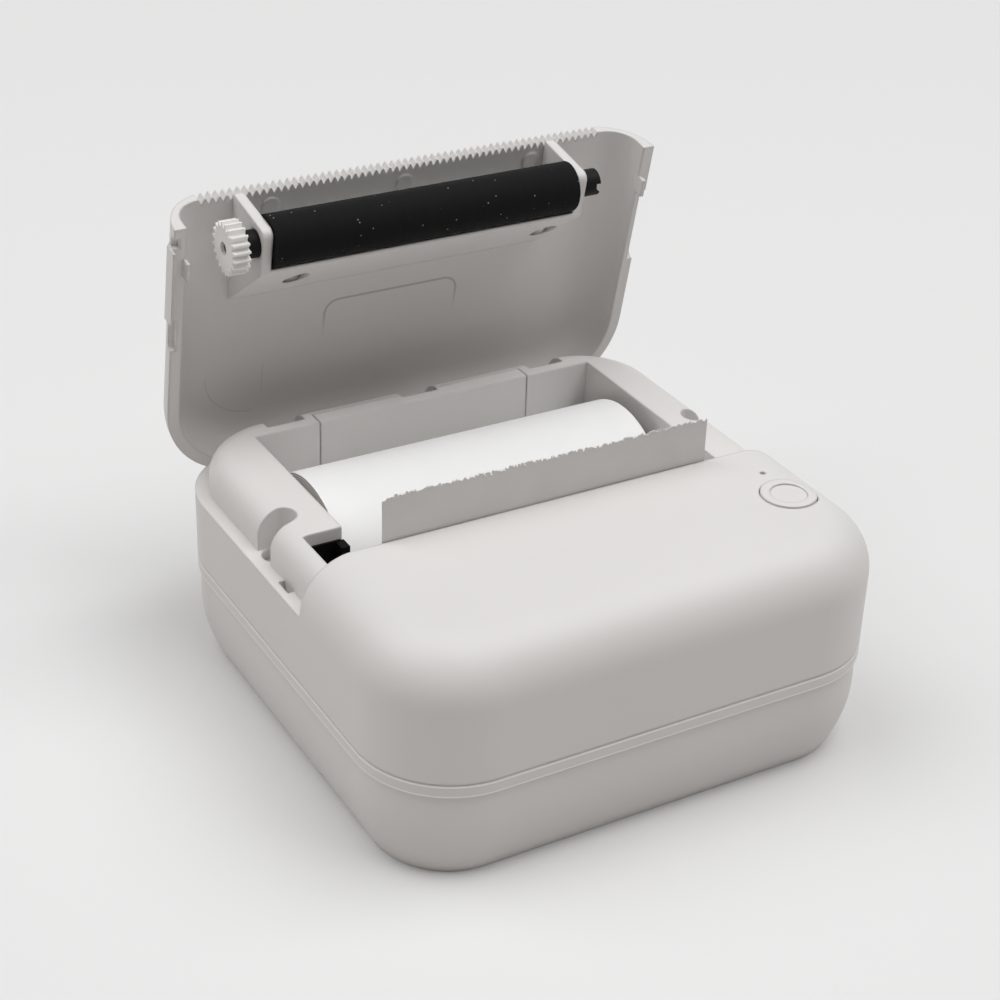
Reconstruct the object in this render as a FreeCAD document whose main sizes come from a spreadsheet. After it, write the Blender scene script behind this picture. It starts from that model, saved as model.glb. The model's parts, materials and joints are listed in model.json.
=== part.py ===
import FreeCAD, Part
import math
import os
import Sketcher

# Pocket thermal printer with its paper cover open, 1 unit = 1 mm.
# Origin at the centre of the base, +X along the platen to the right, +Y to the hinge, +Z up.

# Driving sizes
SIZES = {
    "paper_width": 56.5, "side_zone": 14.5, "body_depth": 84.5, "body_height": 38.5, "corner_share": 0.1775,
    "top_round": 8.6, "shell_wall": 2.2, "floor_thickness": 2.0, "shelf_thickness": 2.0,
    "skirt_drop": 9.0, "side_height": 11.65, "band_height": 2.2, "band_step": 0.35, "band_bevel": 0.35,
    "base_inset": 2.92, "belly_share": 0.7, "tray_inset": 4.1, "rear_zone": 9.25, "feed_depth": 11.73,
    "block_roof": 2.8, "window_lip": 4.7, "cavity_rise": 2.0,
    "cover_wall": 2.0, "cover_gap": 0.3, "open_angle": 78.5, "mouth_width": 1.63, "surround_round": 4.3,
    "hinge_inset": 2.41, "hinge_drop": 2.88, "pin_radius": 0.75, "pin_fit": 0.05,
    "knuckle_width": 6.0, "knuckle_share": 0.434, "rail_wall": 1.2,
    "scallop_reach": 4.7, "scallop_height": 4.2,
    "hinge_cover_inset": 8.85, "hinge_cover_depth": 3.1, "hinge_cover_fit": 0.15,
    "mark_share": 0.416, "mark_shift": 0.5, "mark_radius": 1.5, "mark_proud": 0.25,
    "tooth_pitch": 1.22, "tooth_depth": 1.1, "tooth_reach": 2.1,
    "lip_behind": 5.03, "lip_length": 13.3, "lip_proud": 0.6, "lip_gap": 0.2, "lip_drop": 1.3,
    "nail_behind": 10.13, "nail_end": 22.83, "lip_notch": 1.6, "nail_depth": 1.2, "nail_bite": 1.0,
    "tab_inset": 1.8, "tab_behind": 8.6, "tab_length": 3.0,
    "tab_thickness": 0.6, "tab_drop": 1.6, "tab_fit": 0.2,
    "notch_behind": 17.63, "notch_radius": 2.3, "notch_inset": 7.6,
    "screw_inset": 4.15, "screw_radius": 1.0, "screw_head": 1.95, "screw_fit": 0.15,
    "head_height": 1.2, "boss_radius": 2.7, "boss_clear": 1.5, "rib_root": 0.8,
    "front_screw_inset": 9.75, "front_screw_margin": 9.25,
    "paper_shift": -1.1, "roll_shift": -0.5, "roll_slip": 1.6, "paper_thickness": 0.15, "strip_rise": 6.9,
    "web_bend": 2.5, "web_gap": 0.2, "roll_below": 1.1, "roll_rise": 1.2, "roll_clearance": 0.4,
    "core_share": 0.426, "core_wall": 1.0, "ramp_drop": 6.53,
    "bay_left_gap": 1.55, "bay_right_gap": 4.35,
    "bin_wall": 1.5, "bin_side_behind": 6.89, "bin_side_fit": 0.2,
    "platen_radius": 4.12, "platen_drop": 1.93, "platen_short": 2.9, "platen_shift": -1.7,
    "nip_gap": 0.39, "head_proud": 0.13, "head_gap": 0.05, "shaft_radius": 1.1, "press_fit": 0.01,
    "bush_radius": 2.2, "left_bush_reach": 4.3, "right_bush_reach": 5.1, "bush_notch": 0.8,
    "ear_thickness": 1.7, "ear_gap": 0.2, "ear_front": 3.31, "ear_drop": 2.47, "ear_round": 1.3,
    "nose_rear": 4.59, "bracket_rear": 16.49, "trough_gap": 0.35,
    "bracket_screw_behind": 10.29, "bracket_screw_shift": 1.2, "bracket_screw_inset": 5.55,
    "gear_module": 0.39, "platen_teeth": 20, "gear_width": 2.8, "gear_reach": 7.2,
    "well_side": 1.6, "well_behind": 1.45, "liner_wall": 0.35, "liner_drop": 2.0,
    "guide_rise": 6.4, "bush_swing": 0.75, "shaft_short": 0.6,
    "idler_small_teeth": 10, "idler_large_teeth": 28, "pinion_teeth": 10,
    "thin_gear": 1.3, "thin_beyond": 2.0, "drive_proud": 0.4,
    "gear_clear": 0.3, "mesh_slack": 0.08, "idler_lean": 23.6, "motor_lean": 36.9,
    "motor_radius": 5.2, "motor_length": 10.9, "motor_shaft": 0.75, "post_radius": 0.9,
    "chassis_plate": 1.5, "chassis_left_gap": 1.85, "chassis_right_gap": 1.25, "chassis_foot_drop": 6.4,
    "chassis_rise": 2.43, "beam_behind": 6.2, "beam_rise": 5.4,
    "head_thickness": 1.0, "head_margin": 0.3, "head_low": 3.6, "head_tall": 7.5,
    "sink_thickness": 2.2, "sink_margin": 0.7, "sink_low": 5.0, "sink_tall": 10.5,
    "spring_thickness": 0.3, "spring_share": 0.26, "spring_width": 8.0,
    "board_thickness": 1.2, "board_front_margin": 4.75, "board_rear_margin": 3.37, "board_post": 2.0,
    "post_inset": 3.0, "board_side_gap": 0.5, "usb_post_inset": 2.0, "foot_length": 3.0,
    "battery_left_share": 0.3, "battery_share": 0.78, "battery_height": 7.0, "battery_rear_gap": 4.5,
    "usb_width": 8.94, "usb_height": 3.26, "usb_depth": 7.3, "usb_wall": 0.3, "usb_fit": 0.25,
    "usb_level": 7.4, "usb_recess": 1.0, "usb_board_gap": 0.8, "usb_board_width": 18.0,
    "button_inset": 9.95, "button_lens_room": 2.8, "button_radius": 4.4, "button_fit": 0.15,
    "button_proud": 0.2, "button_roof": 3.2, "button_flange": 0.9, "button_seat": 0.2,
    "button_stem": 1.5, "button_travel_room": 0.6, "button_dish": 2.9, "dish_depth": 0.25,
    "switch_size": 4.5, "switch_margin": 0.5, "switch_height": 1.4, "plunger_height": 0.4,
    "lens_inset": 9.65, "lens_share": 0.2225, "lens_radius": 0.4, "lens_fit": 0.05, "lens_sunk": 0.7,
}

doc = FreeCAD.newDocument("pocket_printer")
sheet = doc.addObject("Spreadsheet::Sheet", "sizes")
for row, (alias, number) in enumerate(SIZES.items(), start=1):
    sheet.set("A%d" % row, alias)
    sheet.set("B%d" % row, str(number))
    sheet.setAlias("B%d" % row, alias)
doc.recompute()


class Size:
    """A size with the sheet expression that drives it and its present number."""

    def __init__(self, text, number):
        self.text = text
        self.number = number

    def joined(self, sign, other, number):
        return Size("(%s %s %s)" % (self.text, sign, other.text), number)

    def __add__(self, other):
        other = as_size(other)
        return self.joined("+", other, self.number + other.number)

    def __sub__(self, other):
        other = as_size(other)
        return self.joined("-", other, self.number - other.number)

    def __mul__(self, other):
        other = as_size(other)
        return self.joined("*", other, self.number * other.number)

    def __truediv__(self, other):
        other = as_size(other)
        return self.joined("/", other, self.number / other.number)

    def __neg__(self):
        return Size("(-1 * %s)" % self.text, -self.number)

    def __rsub__(self, other):
        return as_size(other) - self


def as_size(value):
    return value if isinstance(value, Size) else Size(repr(float(value)), float(value))


def size(alias):
    return Size("sizes." + alias, float(sheet.get(alias)))


def sine(angle):
    return Size("sin(%s * 1 deg)" % angle.text, math.sin(math.radians(angle.number)))


def cosine(angle):
    return Size("cos(%s * 1 deg)" % angle.text, math.cos(math.radians(angle.number)))


def arc_sine(share):
    return Size("(asin(%s) / 1 deg)" % share.text, math.degrees(math.asin(share.number)))


def arc_tangent(slope):
    return Size("(atan(%s) / 1 deg)" % slope.text, math.degrees(math.atan(slope.number)))


def root_of(value):
    return Size("sqrt(%s)" % value.text, math.sqrt(value.number))


def bind(thing, **sizes):
    for name, value in sizes.items():
        thing.setExpression(name, as_size(value).text)


def bind_base(thing, x, y, z):
    for axis, value in zip("xyz", (x, y, z)):
        thing.setExpression("Placement.Base." + axis, as_size(value).text)


# Primitives and booleans
TURNED = {"x": FreeCAD.Rotation(FreeCAD.Vector(0, 1, 0), 90), "z": FreeCAD.Rotation()}


def block(name, x, y, z):
    """A box between the pairs of x, y and z."""
    thing = doc.addObject("Part::Box", name)
    x, y, z = [[as_size(end) for end in pair] for pair in (x, y, z)]
    bind(thing, Length=x[1] - x[0], Width=y[1] - y[0], Height=z[1] - z[0])
    bind_base(thing, x[0], y[0], z[0])
    return thing


def rod(name, axis, ends, across, up, radius):
    """A cylinder along x at (y, z), or along z at (x, y)."""
    thing = doc.addObject("Part::Cylinder", name)
    start, end = [as_size(value) for value in ends]
    bind(thing, Radius=radius, Height=end - start)
    thing.Placement = FreeCAD.Placement(FreeCAD.Vector(), TURNED[axis])
    if axis == "x":
        bind_base(thing, start, across, up)
    else:
        bind_base(thing, across, up, start)
    return thing


def joined(name, things):
    fused = doc.addObject("Part::MultiFuse", name)
    fused.Shapes = things
    return fused


def cut(name, base, tools):
    result = doc.addObject("Part::Cut", name)
    result.Base = base
    result.Tool = tools[0] if len(tools) == 1 else joined(name + "_tools", tools)
    return result


def group(name, things):
    compound = doc.addObject("Part::Compound", name)
    compound.Links = things
    return compound


def tube(name, ends, across, up, outer, inner):
    return cut(name, rod(name + "_outer", "x", ends, across, up, outer),
               [rod(name + "_bore", "x", (ends[0] - 1, ends[1] + 1), across, up, inner)])


# Sketched bodies
def new_body(name):
    return doc.addObject("PartDesign::Body", name)


def origin_feature(body, role):
    return next(item for item in body.Origin.OriginFeatures if item.Role == role)


def sketch_on(body, role, offset):
    sketch = body.newObject("Sketcher::SketchObject", body.Name + "_sketch")
    sketch.AttachmentSupport = [(origin_feature(body, role), "")]
    sketch.MapMode = "FlatFace"
    sketch.setExpression("AttachmentOffset.Base.z", as_size(offset).text)
    return sketch


def fix_point(sketch, geometry, position, x, y):
    for kind, value in (("DistanceX", x), ("DistanceY", y)):
        rule = Sketcher.Constraint(kind, -1, 1, geometry, position, value.number)
        index = sketch.addConstraint(rule)
        sketch.setExpression("Constraints[%d]" % index, value.text)


def outline(sketch, corners):
    """A closed outline through corners (x, y), or (x, y, radius) where one is rounded."""
    corners = [tuple(as_size(value) for value in corner) for corner in corners]
    places = [FreeCAD.Vector(corner[0].number, corner[1].number, 0) for corner in corners]
    count = len(corners)
    arrive, leave, arcs = [], [], []
    for index, corner in enumerate(corners):
        here = places[index]
        back = (places[index - 1] - here).normalize()
        ahead = (places[(index + 1) % count] - here).normalize()
        if len(corner) == 2:
            arrive.append(here)
            leave.append(here)
            arcs.append(None)
            continue
        radius = corner[2].number
        half = back.getAngle(ahead) / 2
        reach = radius / math.tan(half)
        arrive.append(here + back * reach)
        leave.append(here + ahead * reach)
        centre = here + (back + ahead).normalize() * (radius / math.sin(half))
        turns_left = back.cross(ahead).z < 0
        ends = (arrive[index], leave[index]) if turns_left else (leave[index], arrive[index])
        angles = [math.atan2(end.y - centre.y, end.x - centre.x) for end in ends]
        if angles[1] < angles[0]:
            angles[1] += 2 * math.pi
        circle = Part.Circle(centre, FreeCAD.Vector(0, 0, 1), radius)
        arcs.append((Part.ArcOfCircle(circle, *angles), turns_left))
    lines = []
    for index in range(count):
        segment = Part.LineSegment(leave[index], arrive[(index + 1) % count])
        lines.append(sketch.addGeometry(segment, False))
    for index, corner in enumerate(corners):
        coming, going = lines[index - 1], lines[index]
        if arcs[index] is None:
            sketch.addConstraint(Sketcher.Constraint("Coincident", coming, 2, going, 1))
            fix_point(sketch, going, 1, corner[0], corner[1])
            continue
        curve, turns_left = arcs[index]
        arc = sketch.addGeometry(curve, False)
        first, last = (1, 2) if turns_left else (2, 1)
        sketch.addConstraint(Sketcher.Constraint("Tangent", coming, 2, arc, first))
        sketch.addConstraint(Sketcher.Constraint("Tangent", arc, last, going, 1))
        rule = sketch.addConstraint(Sketcher.Constraint("Radius", arc, corner[2].number))
        sketch.setExpression("Constraints[%d]" % rule, corner[2].text)
        tip = sketch.addGeometry(Part.Point(places[index]), True)
        sketch.addConstraint(Sketcher.Constraint("PointOnObject", tip, 1, coming))
        sketch.addConstraint(Sketcher.Constraint("PointOnObject", tip, 1, going))
        fix_point(sketch, tip, 1, corner[0], corner[1])


def circle(sketch, radius):
    """A circle about the sketch's origin."""
    ring = sketch.addGeometry(Part.Circle(FreeCAD.Vector(), FreeCAD.Vector(0, 0, 1), radius.number), False)
    sketch.addConstraint(Sketcher.Constraint("Coincident", ring, 3, -1, 1))
    rule = sketch.addConstraint(Sketcher.Constraint("Radius", ring, radius.number))
    sketch.setExpression("Constraints[%d]" % rule, radius.text)


def pad(body, sketch, length):
    feature = body.newObject("PartDesign::Pad", body.Name + "_pad")
    feature.Profile = sketch
    bind(feature, Length=length)
    return feature


def pocket(body, sketch, length):
    """A cut along the sketch's normal."""
    feature = body.newObject("PartDesign::Pocket", body.Name + "_pocket")
    feature.Profile = sketch
    feature.Reversed = True
    bind(feature, Length=length)
    return feature


def edges_where(feature, test):
    found = enumerate(feature.Shape.Edges, start=1)
    return ["Edge%d" % number for number, edge in found if test(edge.BoundBox, edge)]


def dress(body, kind, feature, test, **sizes):
    """A fillet or chamfer on the edges that pass the test."""
    doc.recompute()
    dressed = body.newObject("PartDesign::" + kind, body.Name + "_" + kind.lower())
    dressed.Base = (feature, edges_where(feature, test))
    bind(dressed, **sizes)
    return dressed


def at_level(level):
    return lambda box, edge: abs(box.ZMin - level) < 0.01 and abs(box.ZMax - level) < 0.01


def rounded_plan(inset, front=None, rear=None):
    """The body's plan outline drawn in by inset, or cut square at a front or rear place."""
    side = half_width - inset
    corner = body_corner - inset
    near = -half_depth + inset if front is None else front
    far = half_depth - inset if rear is None else rear
    front_round = (corner,) if front is None else ()
    rear_round = (corner,) if rear is None else ()
    return [(-side, near) + front_round, (side, near) + front_round,
            (side, far) + rear_round, (-side, far) + rear_round]


def plan_body(name, low, high, **plan):
    body = new_body(name)
    sketch = sketch_on(body, "XY_Plane", low)
    outline(sketch, rounded_plan(**plan))
    return body, pad(body, sketch, high - low)


def profile_body(name, left, right, corners):
    """An outline in (y, z) padded from left to right."""
    body = new_body(name)
    sketch = sketch_on(body, "YZ_Plane", left)
    outline(sketch, corners)
    pad(body, sketch, as_size(right) - left)
    return body


# Shared places
body_corner = size("body_depth") * size("corner_share")
paper_width = size("paper_width")
half_width = paper_width / 2 + size("side_zone")
half_depth = size("body_depth") / 2
top = size("body_height")
wall = size("shell_wall")
floor = size("floor_thickness")
ledge = top - size("skirt_drop")
seam = ledge - size("side_height")
shelf_under = ledge - size("shelf_thickness")
top_round = size("top_round")
ledge_width = size("cover_wall") + size("cover_gap")
frame_top = top - ledge_width
rim = ledge + size("cover_gap")
panel = top - size("cover_wall")
hinge_y = half_depth - size("hinge_inset")
hinge_z = ledge - size("hinge_drop")
bin_under = floor + size("roll_rise")
roll_radius = (frame_top - size("roll_below") - bin_under - size("bin_wall") - size("roll_clearance")) / 2
bin_radius = roll_radius + size("roll_clearance")
bin_rear = half_depth - size("rear_zone")
roll_y = bin_rear - bin_radius
roll_z = bin_under + size("bin_wall") + bin_radius
block_rear = roll_y - roll_radius - size("feed_depth")
head_face = block_rear + size("head_proud")
web_front = head_face + size("head_gap")
web_rear = web_front + size("paper_thickness")
platen_y = web_rear + size("nip_gap") + size("platen_radius")
platen_z = ledge - size("platen_drop")
platen_half = (paper_width - size("platen_short")) / 2
platen_left = size("platen_shift") - platen_half
platen_right = size("platen_shift") + platen_half
ear_left = platen_left - size("ear_gap")
ear_right = platen_right + size("ear_gap")
ear_left_out = ear_left - size("ear_thickness")
ear_right_out = ear_right + size("ear_thickness")
bush_left = platen_left - size("left_bush_reach")
bush_right = platen_right + size("right_bush_reach")
gear_left = platen_left - size("gear_reach")
paper_left = size("paper_shift") - paper_width / 2
paper_right = size("paper_shift") + paper_width / 2
chassis_left = paper_left - size("chassis_left_gap")
plate_left = chassis_left - size("chassis_plate")
chassis_right = paper_right + size("chassis_right_gap")
module = size("gear_module")
bin_left = paper_left - size("bay_left_gap")
bin_right = paper_right + size("bay_right_gap")
screw_side = half_width - size("screw_inset")
notch_place = block_rear + size("notch_behind")
screw_hole = size("screw_radius") + size("screw_fit")
cavity_top = ledge + size("cavity_rise")
knuckle_spacing = paper_width * size("knuckle_share")
front_screw_side = half_width - size("front_screw_inset")
front_screw_place = size("front_screw_margin") - half_depth
SIDES = (-1, 1)


def gear_tip(teeth):
    return module * (size(teeth) / 2 + 0.9)


def gear_pitch(teeth):
    return module * size(teeth) / 2


platen_tip = gear_tip("platen_teeth")


# Feed drive axes: the idler hangs below the platen gear and the motor below the idler
idler_reach = platen_tip + gear_tip("idler_small_teeth") + size("gear_clear")
idler_y = platen_y - idler_reach * sine(size("idler_lean"))
idler_z = platen_z - idler_reach * cosine(size("idler_lean"))
motor_reach = gear_pitch("idler_large_teeth") + gear_pitch("pinion_teeth") + size("mesh_slack")
motor_y = idler_y - motor_reach * sine(size("motor_lean"))
motor_z = idler_z - motor_reach * cosine(size("motor_lean"))
chassis_foot = motor_z - size("chassis_foot_drop")

# Lower shell: a tray whose sides curve in to the base, with a band under the seam
band_low = seam - size("band_height")
belly_level = band_low * size("belly_share")
base_inset = size("base_inset")
belly = (belly_level * belly_level + base_inset * base_inset) / (base_inset * 2)


def belly_inset(share):
    """How far the side is drawn in at a share of the curved height."""
    drop = belly_level * (1 - share)
    return size("band_step") + belly - root_of(belly * belly - drop * drop)


lower_body = new_body("lower_form")
belly_sketches = []
for share in (0, 0.25, 0.5, 0.75, 1):
    belly_sketches.append(sketch_on(lower_body, "XY_Plane", belly_level * share))
    outline(belly_sketches[-1], rounded_plan(belly_inset(share)))
belly_sketches.append(sketch_on(lower_body, "XY_Plane", band_low))
outline(belly_sketches[-1], rounded_plan(size("band_step")))
taper = lower_body.newObject("PartDesign::AdditiveLoft", "lower_taper")
taper.Profile = belly_sketches[0]
taper.Sections = belly_sketches[1:]
band_sketch = sketch_on(lower_body, "XY_Plane", band_low)
outline(band_sketch, rounded_plan(as_size(0)))
band = pad(lower_body, band_sketch, size("band_height"))
dress(lower_body, "Chamfer", band, at_level(seam.number), Size=size("band_bevel"))
tray_sketch = sketch_on(lower_body, "XY_Plane", floor)
outline(tray_sketch, rounded_plan(size("tray_inset")))
pocket(lower_body, tray_sketch, seam)

board_top = floor + size("board_post") + size("board_thickness")
board_front = size("board_front_margin") - half_depth
board_rear = block_rear - size("board_rear_margin")
board_left = chassis_left + size("motor_length") + size("board_side_gap")
board_right = paper_width / 2
post_inset = size("post_inset")
usb_board_rear = half_depth - size("tray_inset")
lower_adds = [lower_body]
lower_cuts = []
for side in SIDES:
    lower_adds.append(rod("side_boss", "z", (floor * 4, seam), screw_side * side, notch_place,
                          size("boss_radius")))
    lower_cuts.append(rod("side_pilot", "z", (floor * 3.5, seam + 1), screw_side * side,
                          notch_place, size("screw_radius") + size("press_fit")))
    front_x = front_screw_side * side
    front_y = front_screw_place
    lower_adds.append(rod("front_boss", "z", (floor / 2, seam), front_x, front_y, size("boss_radius")))
    lower_cuts.append(rod("front_hole", "z", (-1, seam + 1), front_x, front_y, screw_hole))
    lower_cuts.append(rod("front_recess", "z", (-1, size("head_height") + size("screw_fit")),
                          front_x, front_y, size("screw_head") + size("screw_fit")))
    board_side = board_right - post_inset if side > 0 else board_left + post_inset
    for place in (board_front + post_inset, board_rear - post_inset):
        lower_adds.append(rod("board_post", "z", (floor / 2, floor + size("board_post")),
                              board_side, place, size("chassis_plate")))
    lower_adds.append(rod("usb_post", "z", (floor / 2, size("usb_level") - size("board_thickness")),
                          (size("usb_board_width") / 2 - size("usb_post_inset")) * side,
                          usb_board_rear - size("usb_post_inset"), size("chassis_plate")))
foot_front = head_face - size("beam_behind")
for left in (plate_left, chassis_right):
    lower_adds.append(block("chassis_post", (left, left + size("chassis_plate")),
                            (foot_front - size("foot_length"), foot_front), (floor / 2, chassis_foot)))
usb_half = size("usb_width") / 2 + size("usb_fit")
lower_cuts.append(block("usb_window", (-usb_half, usb_half), (usb_board_rear - 1, half_depth + 1),
                        (size("usb_level") - size("usb_fit"),
                         size("usb_level") + size("usb_height") + size("usb_fit"))))
lower_shell = cut("lower_shell", joined("lower_solid", lower_adds), lower_cuts)

# Upper shell: skirt, front block and the arched surround of the paper bay in one moulding
upper_body, skirt = plan_body("upper_form", seam, ledge, inset=as_size(0))
block_sketch = sketch_on(upper_body, "XY_Plane", ledge - 1)
outline(block_sketch, rounded_plan(as_size(0), rear=block_rear))
pad(upper_body, block_sketch, top - ledge + 1)
surround_sketch = sketch_on(upper_body, "XY_Plane", ledge - 1)
outline(surround_sketch, rounded_plan(ledge_width, front=block_rear - 1))
surround = pad(upper_body, surround_sketch, frame_top - ledge + 1)
rear_limit = block_rear.number + 0.01


def surround_edge(box, edge):
    return at_level(frame_top.number)(box, edge) and box.YMax > rear_limit


def block_edge(box, edge):
    return at_level(top.number)(box, edge) and box.YMin < rear_limit - 0.1


arch = dress(upper_body, "Fillet", surround, surround_edge, Radius=size("surround_round"))
dress(upper_body, "Fillet", arch, block_edge, Radius=top_round)

main_cavity, _ = plan_body("main_cavity", seam - 1, shelf_under, inset=wall)
block_cavity, _ = plan_body("block_cavity", shelf_under - 1, cavity_top, inset=wall, rear=block_rear - wall)
roof_side = half_width - top_round
roof_cavity = block("roof_cavity", (-roof_side, roof_side), (top_round - half_depth, block_rear - wall),
                    (cavity_top - 1, top - size("block_roof")))
head_window = block("head_window", (plate_left - size("cover_gap"), bin_right),
                    (block_rear - wall - 1, block_rear + 1), (shelf_under - 1, top - size("window_lip")))
upper_hollow = cut("upper_hollow", upper_body, [main_cavity, block_cavity, roof_cavity, head_window])

rail_side = knuckle_spacing + size("knuckle_width") / 2 + size("cover_gap") + size("rail_wall")
rail_reach = size("hinge_inset") + size("rail_wall")
rail = block("hinge_rail", (-rail_side, rail_side), (hinge_y - rail_reach, half_depth - wall / 2),
             (hinge_z - rail_reach, ledge - size("cover_gap")))
upper_adds = [upper_hollow, rail]
upper_cuts = [block("bay_opening", (bin_left, bin_right), (block_rear, bin_rear), (seam - 1, top + 1))]
well_left = gear_left - size("well_side")
well_rear = platen_y + platen_tip + size("well_behind")
upper_cuts.append(block("gear_well", (well_left, bin_left + 1), (block_rear, well_rear),
                        (shelf_under - 1, top + 1)))
bush_room = size("bush_radius") + size("screw_fit") * 3
upper_cuts.append(block("bush_pocket", (bin_right - 1, bin_right + size("cover_gap")),
                        (platen_y - bush_room, platen_y + bush_room + size("bush_swing") * 1.6),
                        (shelf_under - 1, top + 1)))
cover_fit = size("hinge_cover_fit")
hinge_cover_half = paper_width / 2 - size("hinge_cover_inset")
hinge_cover_rear = bin_rear + size("hinge_cover_depth")
upper_cuts.append(block("hinge_cover_seat", (-hinge_cover_half - cover_fit, hinge_cover_half + cover_fit),
                        (bin_rear - 1, hinge_cover_rear + cover_fit), (shelf_under - 1, top + 1)))
knuckle_half = size("knuckle_width") / 2
KNUCKLES = [knuckle_spacing * step for step in (-1, 0, 1)]
scallop_front = hinge_y - size("scallop_reach")
scallop_low = frame_top - size("scallop_height")


def scallop(middle):
    """The room behind the surround's top edge for a knuckle's arm."""
    slot_half = knuckle_half + size("cover_gap")
    return block("scallop", (middle - slot_half, middle + slot_half), (scallop_front, half_depth + 1),
                 (scallop_low, top + 1))


for middle in KNUCKLES:
    slot_half = knuckle_half + size("cover_gap")
    upper_cuts.append(block("knuckle_slot", (middle - slot_half, middle + slot_half),
                            (hinge_y - size("hinge_inset") - size("cover_gap"), half_depth + 1),
                            (hinge_z - size("hinge_inset") - size("cover_gap"), top + 1)))
    upper_cuts.append(scallop(middle))
upper_cuts.append(rod("pin_bore", "x", (-rail_side, rail_side), hinge_y, hinge_z,
                      size("pin_radius") + size("press_fit")))
swing_side = half_width - ledge_width * 2
upper_cuts.append(cut("rim_swing",
                      block("swing_corner", (-swing_side, swing_side), (hinge_y, half_depth + 1),
                            (hinge_z, ledge + 1)),
                      [rod("swing_round", "x", (-half_width, half_width), hinge_y, hinge_z,
                           ledge - hinge_z)]))
tab_side = half_width - size("tab_inset")
tab_room = size("tab_thickness") / 2 + size("tab_fit")
tab_run = size("tab_length") / 2 + size("tab_fit")
tab_middle = block_rear + size("tab_behind")
notch_side = half_width - size("notch_inset") + size("notch_radius")
front_boss_top = cavity_top - size("board_thickness") - size("boss_clear")
front_rib_start = wall * size("rib_root") - half_depth
rib_half = size("rail_wall") / 2
for side in SIDES:
    boss_x = screw_side * side
    upper_adds.append(rod("upper_boss", "z", (seam, shelf_under + 1), boss_x, notch_place,
                          size("boss_radius")))
    upper_cuts.append(rod("screw_hole", "z", (seam - 1, ledge + 1), boss_x, notch_place, screw_hole))
    upper_cuts.append(rod("screw_seat", "z", (ledge - size("head_height") * 1.5, ledge + 1), boss_x,
                          notch_place, size("screw_head") + size("screw_fit")))
    front_x = front_screw_side * side
    upper_adds.append(rod("front_upper_boss", "z", (seam, front_boss_top), front_x,
                          front_screw_place, size("boss_radius")))
    upper_adds.append(block("boss_rib", (front_x - rib_half, front_x + rib_half),
                            (front_rib_start, front_screw_place), (seam, front_boss_top)))
    upper_cuts.append(rod("front_pilot", "z", (seam - 1, front_boss_top - 0.5), front_x,
                          front_screw_place, size("screw_radius") + size("press_fit")))
    notch_ends = sorted((notch_side * side, (half_width + 1) * side), key=lambda end: end.number)
    upper_cuts.append(block("notch", notch_ends,
                            (notch_place - size("notch_radius"),
                             notch_place + size("notch_radius")), (ledge, top + 1)))
    upper_cuts.append(rod("notch_end", "z", (ledge, top + 1), notch_side * side, notch_place,
                          size("notch_radius")))
    slot_x = tab_side * side
    upper_cuts.append(block("tab_slot", (slot_x - tab_room, slot_x + tab_room),
                            (tab_middle - tab_run, tab_middle + tab_run),
                            (ledge - size("tab_drop") - size("tab_fit"), ledge + 1)))
button_x = half_width - size("button_inset")
block_depth = block_rear + half_depth
lens_x = half_width - size("lens_inset")
lens_y = block_rear - block_depth * size("lens_share")
button_y = lens_y - size("button_lens_room") - size("button_radius")
button_under = top - size("button_roof")
flange_radius = size("button_radius") + size("button_flange")
upper_cuts.append(rod("button_hole", "z", (cavity_top, top + 1), button_x, button_y,
                      size("button_radius") + size("button_fit")))
upper_cuts.append(rod("button_room", "z", (cavity_top - 1, button_under), button_x, button_y,
                      flange_radius + size("button_fit") * 2))
upper_cuts.append(rod("lens_hole", "z", (cavity_top, top + 1), lens_x, lens_y,
                      size("lens_radius") + size("lens_fit")))
upper_shell = cut("upper_shell", joined("upper_solid", upper_adds), upper_cuts)

# Hinge cover: the centre piece of the bay's back wall, dropped in over the hinge rail
hinge_cover = cut("hinge_cover", block("hinge_plate", (-hinge_cover_half, hinge_cover_half),
                                       (bin_rear, hinge_cover_rear), (shelf_under, frame_top)),
                  [scallop(KNUCKLES[1])])

# Paper bin: a cradle round the roll with a ramp that leads the paper up to the print head
bin_front = web_front - size("head_gap") * 2
bin_outer = bin_radius + size("bin_wall")
ramp_run = roll_y - bin_front
ramp_rise = roll_z - platen_z + size("ramp_drop")
ramp_reach = root_of(ramp_run * ramp_run + ramp_rise * ramp_rise)
ramp = arc_sine(bin_outer / ramp_reach) - arc_tangent(ramp_rise / ramp_run)


def ramp_level(distance, place):
    """Height at a place of the line that runs up the ramp at a distance from the roll's axis."""
    return roll_z - (distance + (as_size(place) - roll_y) * sine(ramp)) / cosine(ramp)


def cradle(distance, rise, front):
    rear = roll_y + distance
    return [(rear, rise), (front, rise), (front, ramp_level(distance, front)),
            (rear, ramp_level(distance, rear), distance)]


bin_solid = profile_body("bin_solid", bin_left - size("bin_wall"), bin_right + size("bin_wall"),
                         cradle(bin_outer, shelf_under, bin_front))
bin_hollow = profile_body("bin_hollow", bin_left, bin_right,
                          cradle(bin_radius, shelf_under + 1, bin_front - 1))
bin_cuts = [bin_hollow]
bin_side_start = platen_y + size("bin_side_behind")
for ends in ((-half_width, bin_left), (chassis_right - size("bin_side_fit"), half_width)):
    bin_cuts.append(block("bin_side_clear", ends, (bin_front - 2, bin_side_start), (0, shelf_under + 1)))
paper_bin = cut("paper_bin", bin_solid, bin_cuts)

# Hinge pin: a steel rod pressed into the hinge rail
hinge_pin = rod("hinge_pin", "x", (-rail_side, rail_side), hinge_y, hinge_z, size("pin_radius"))


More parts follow.
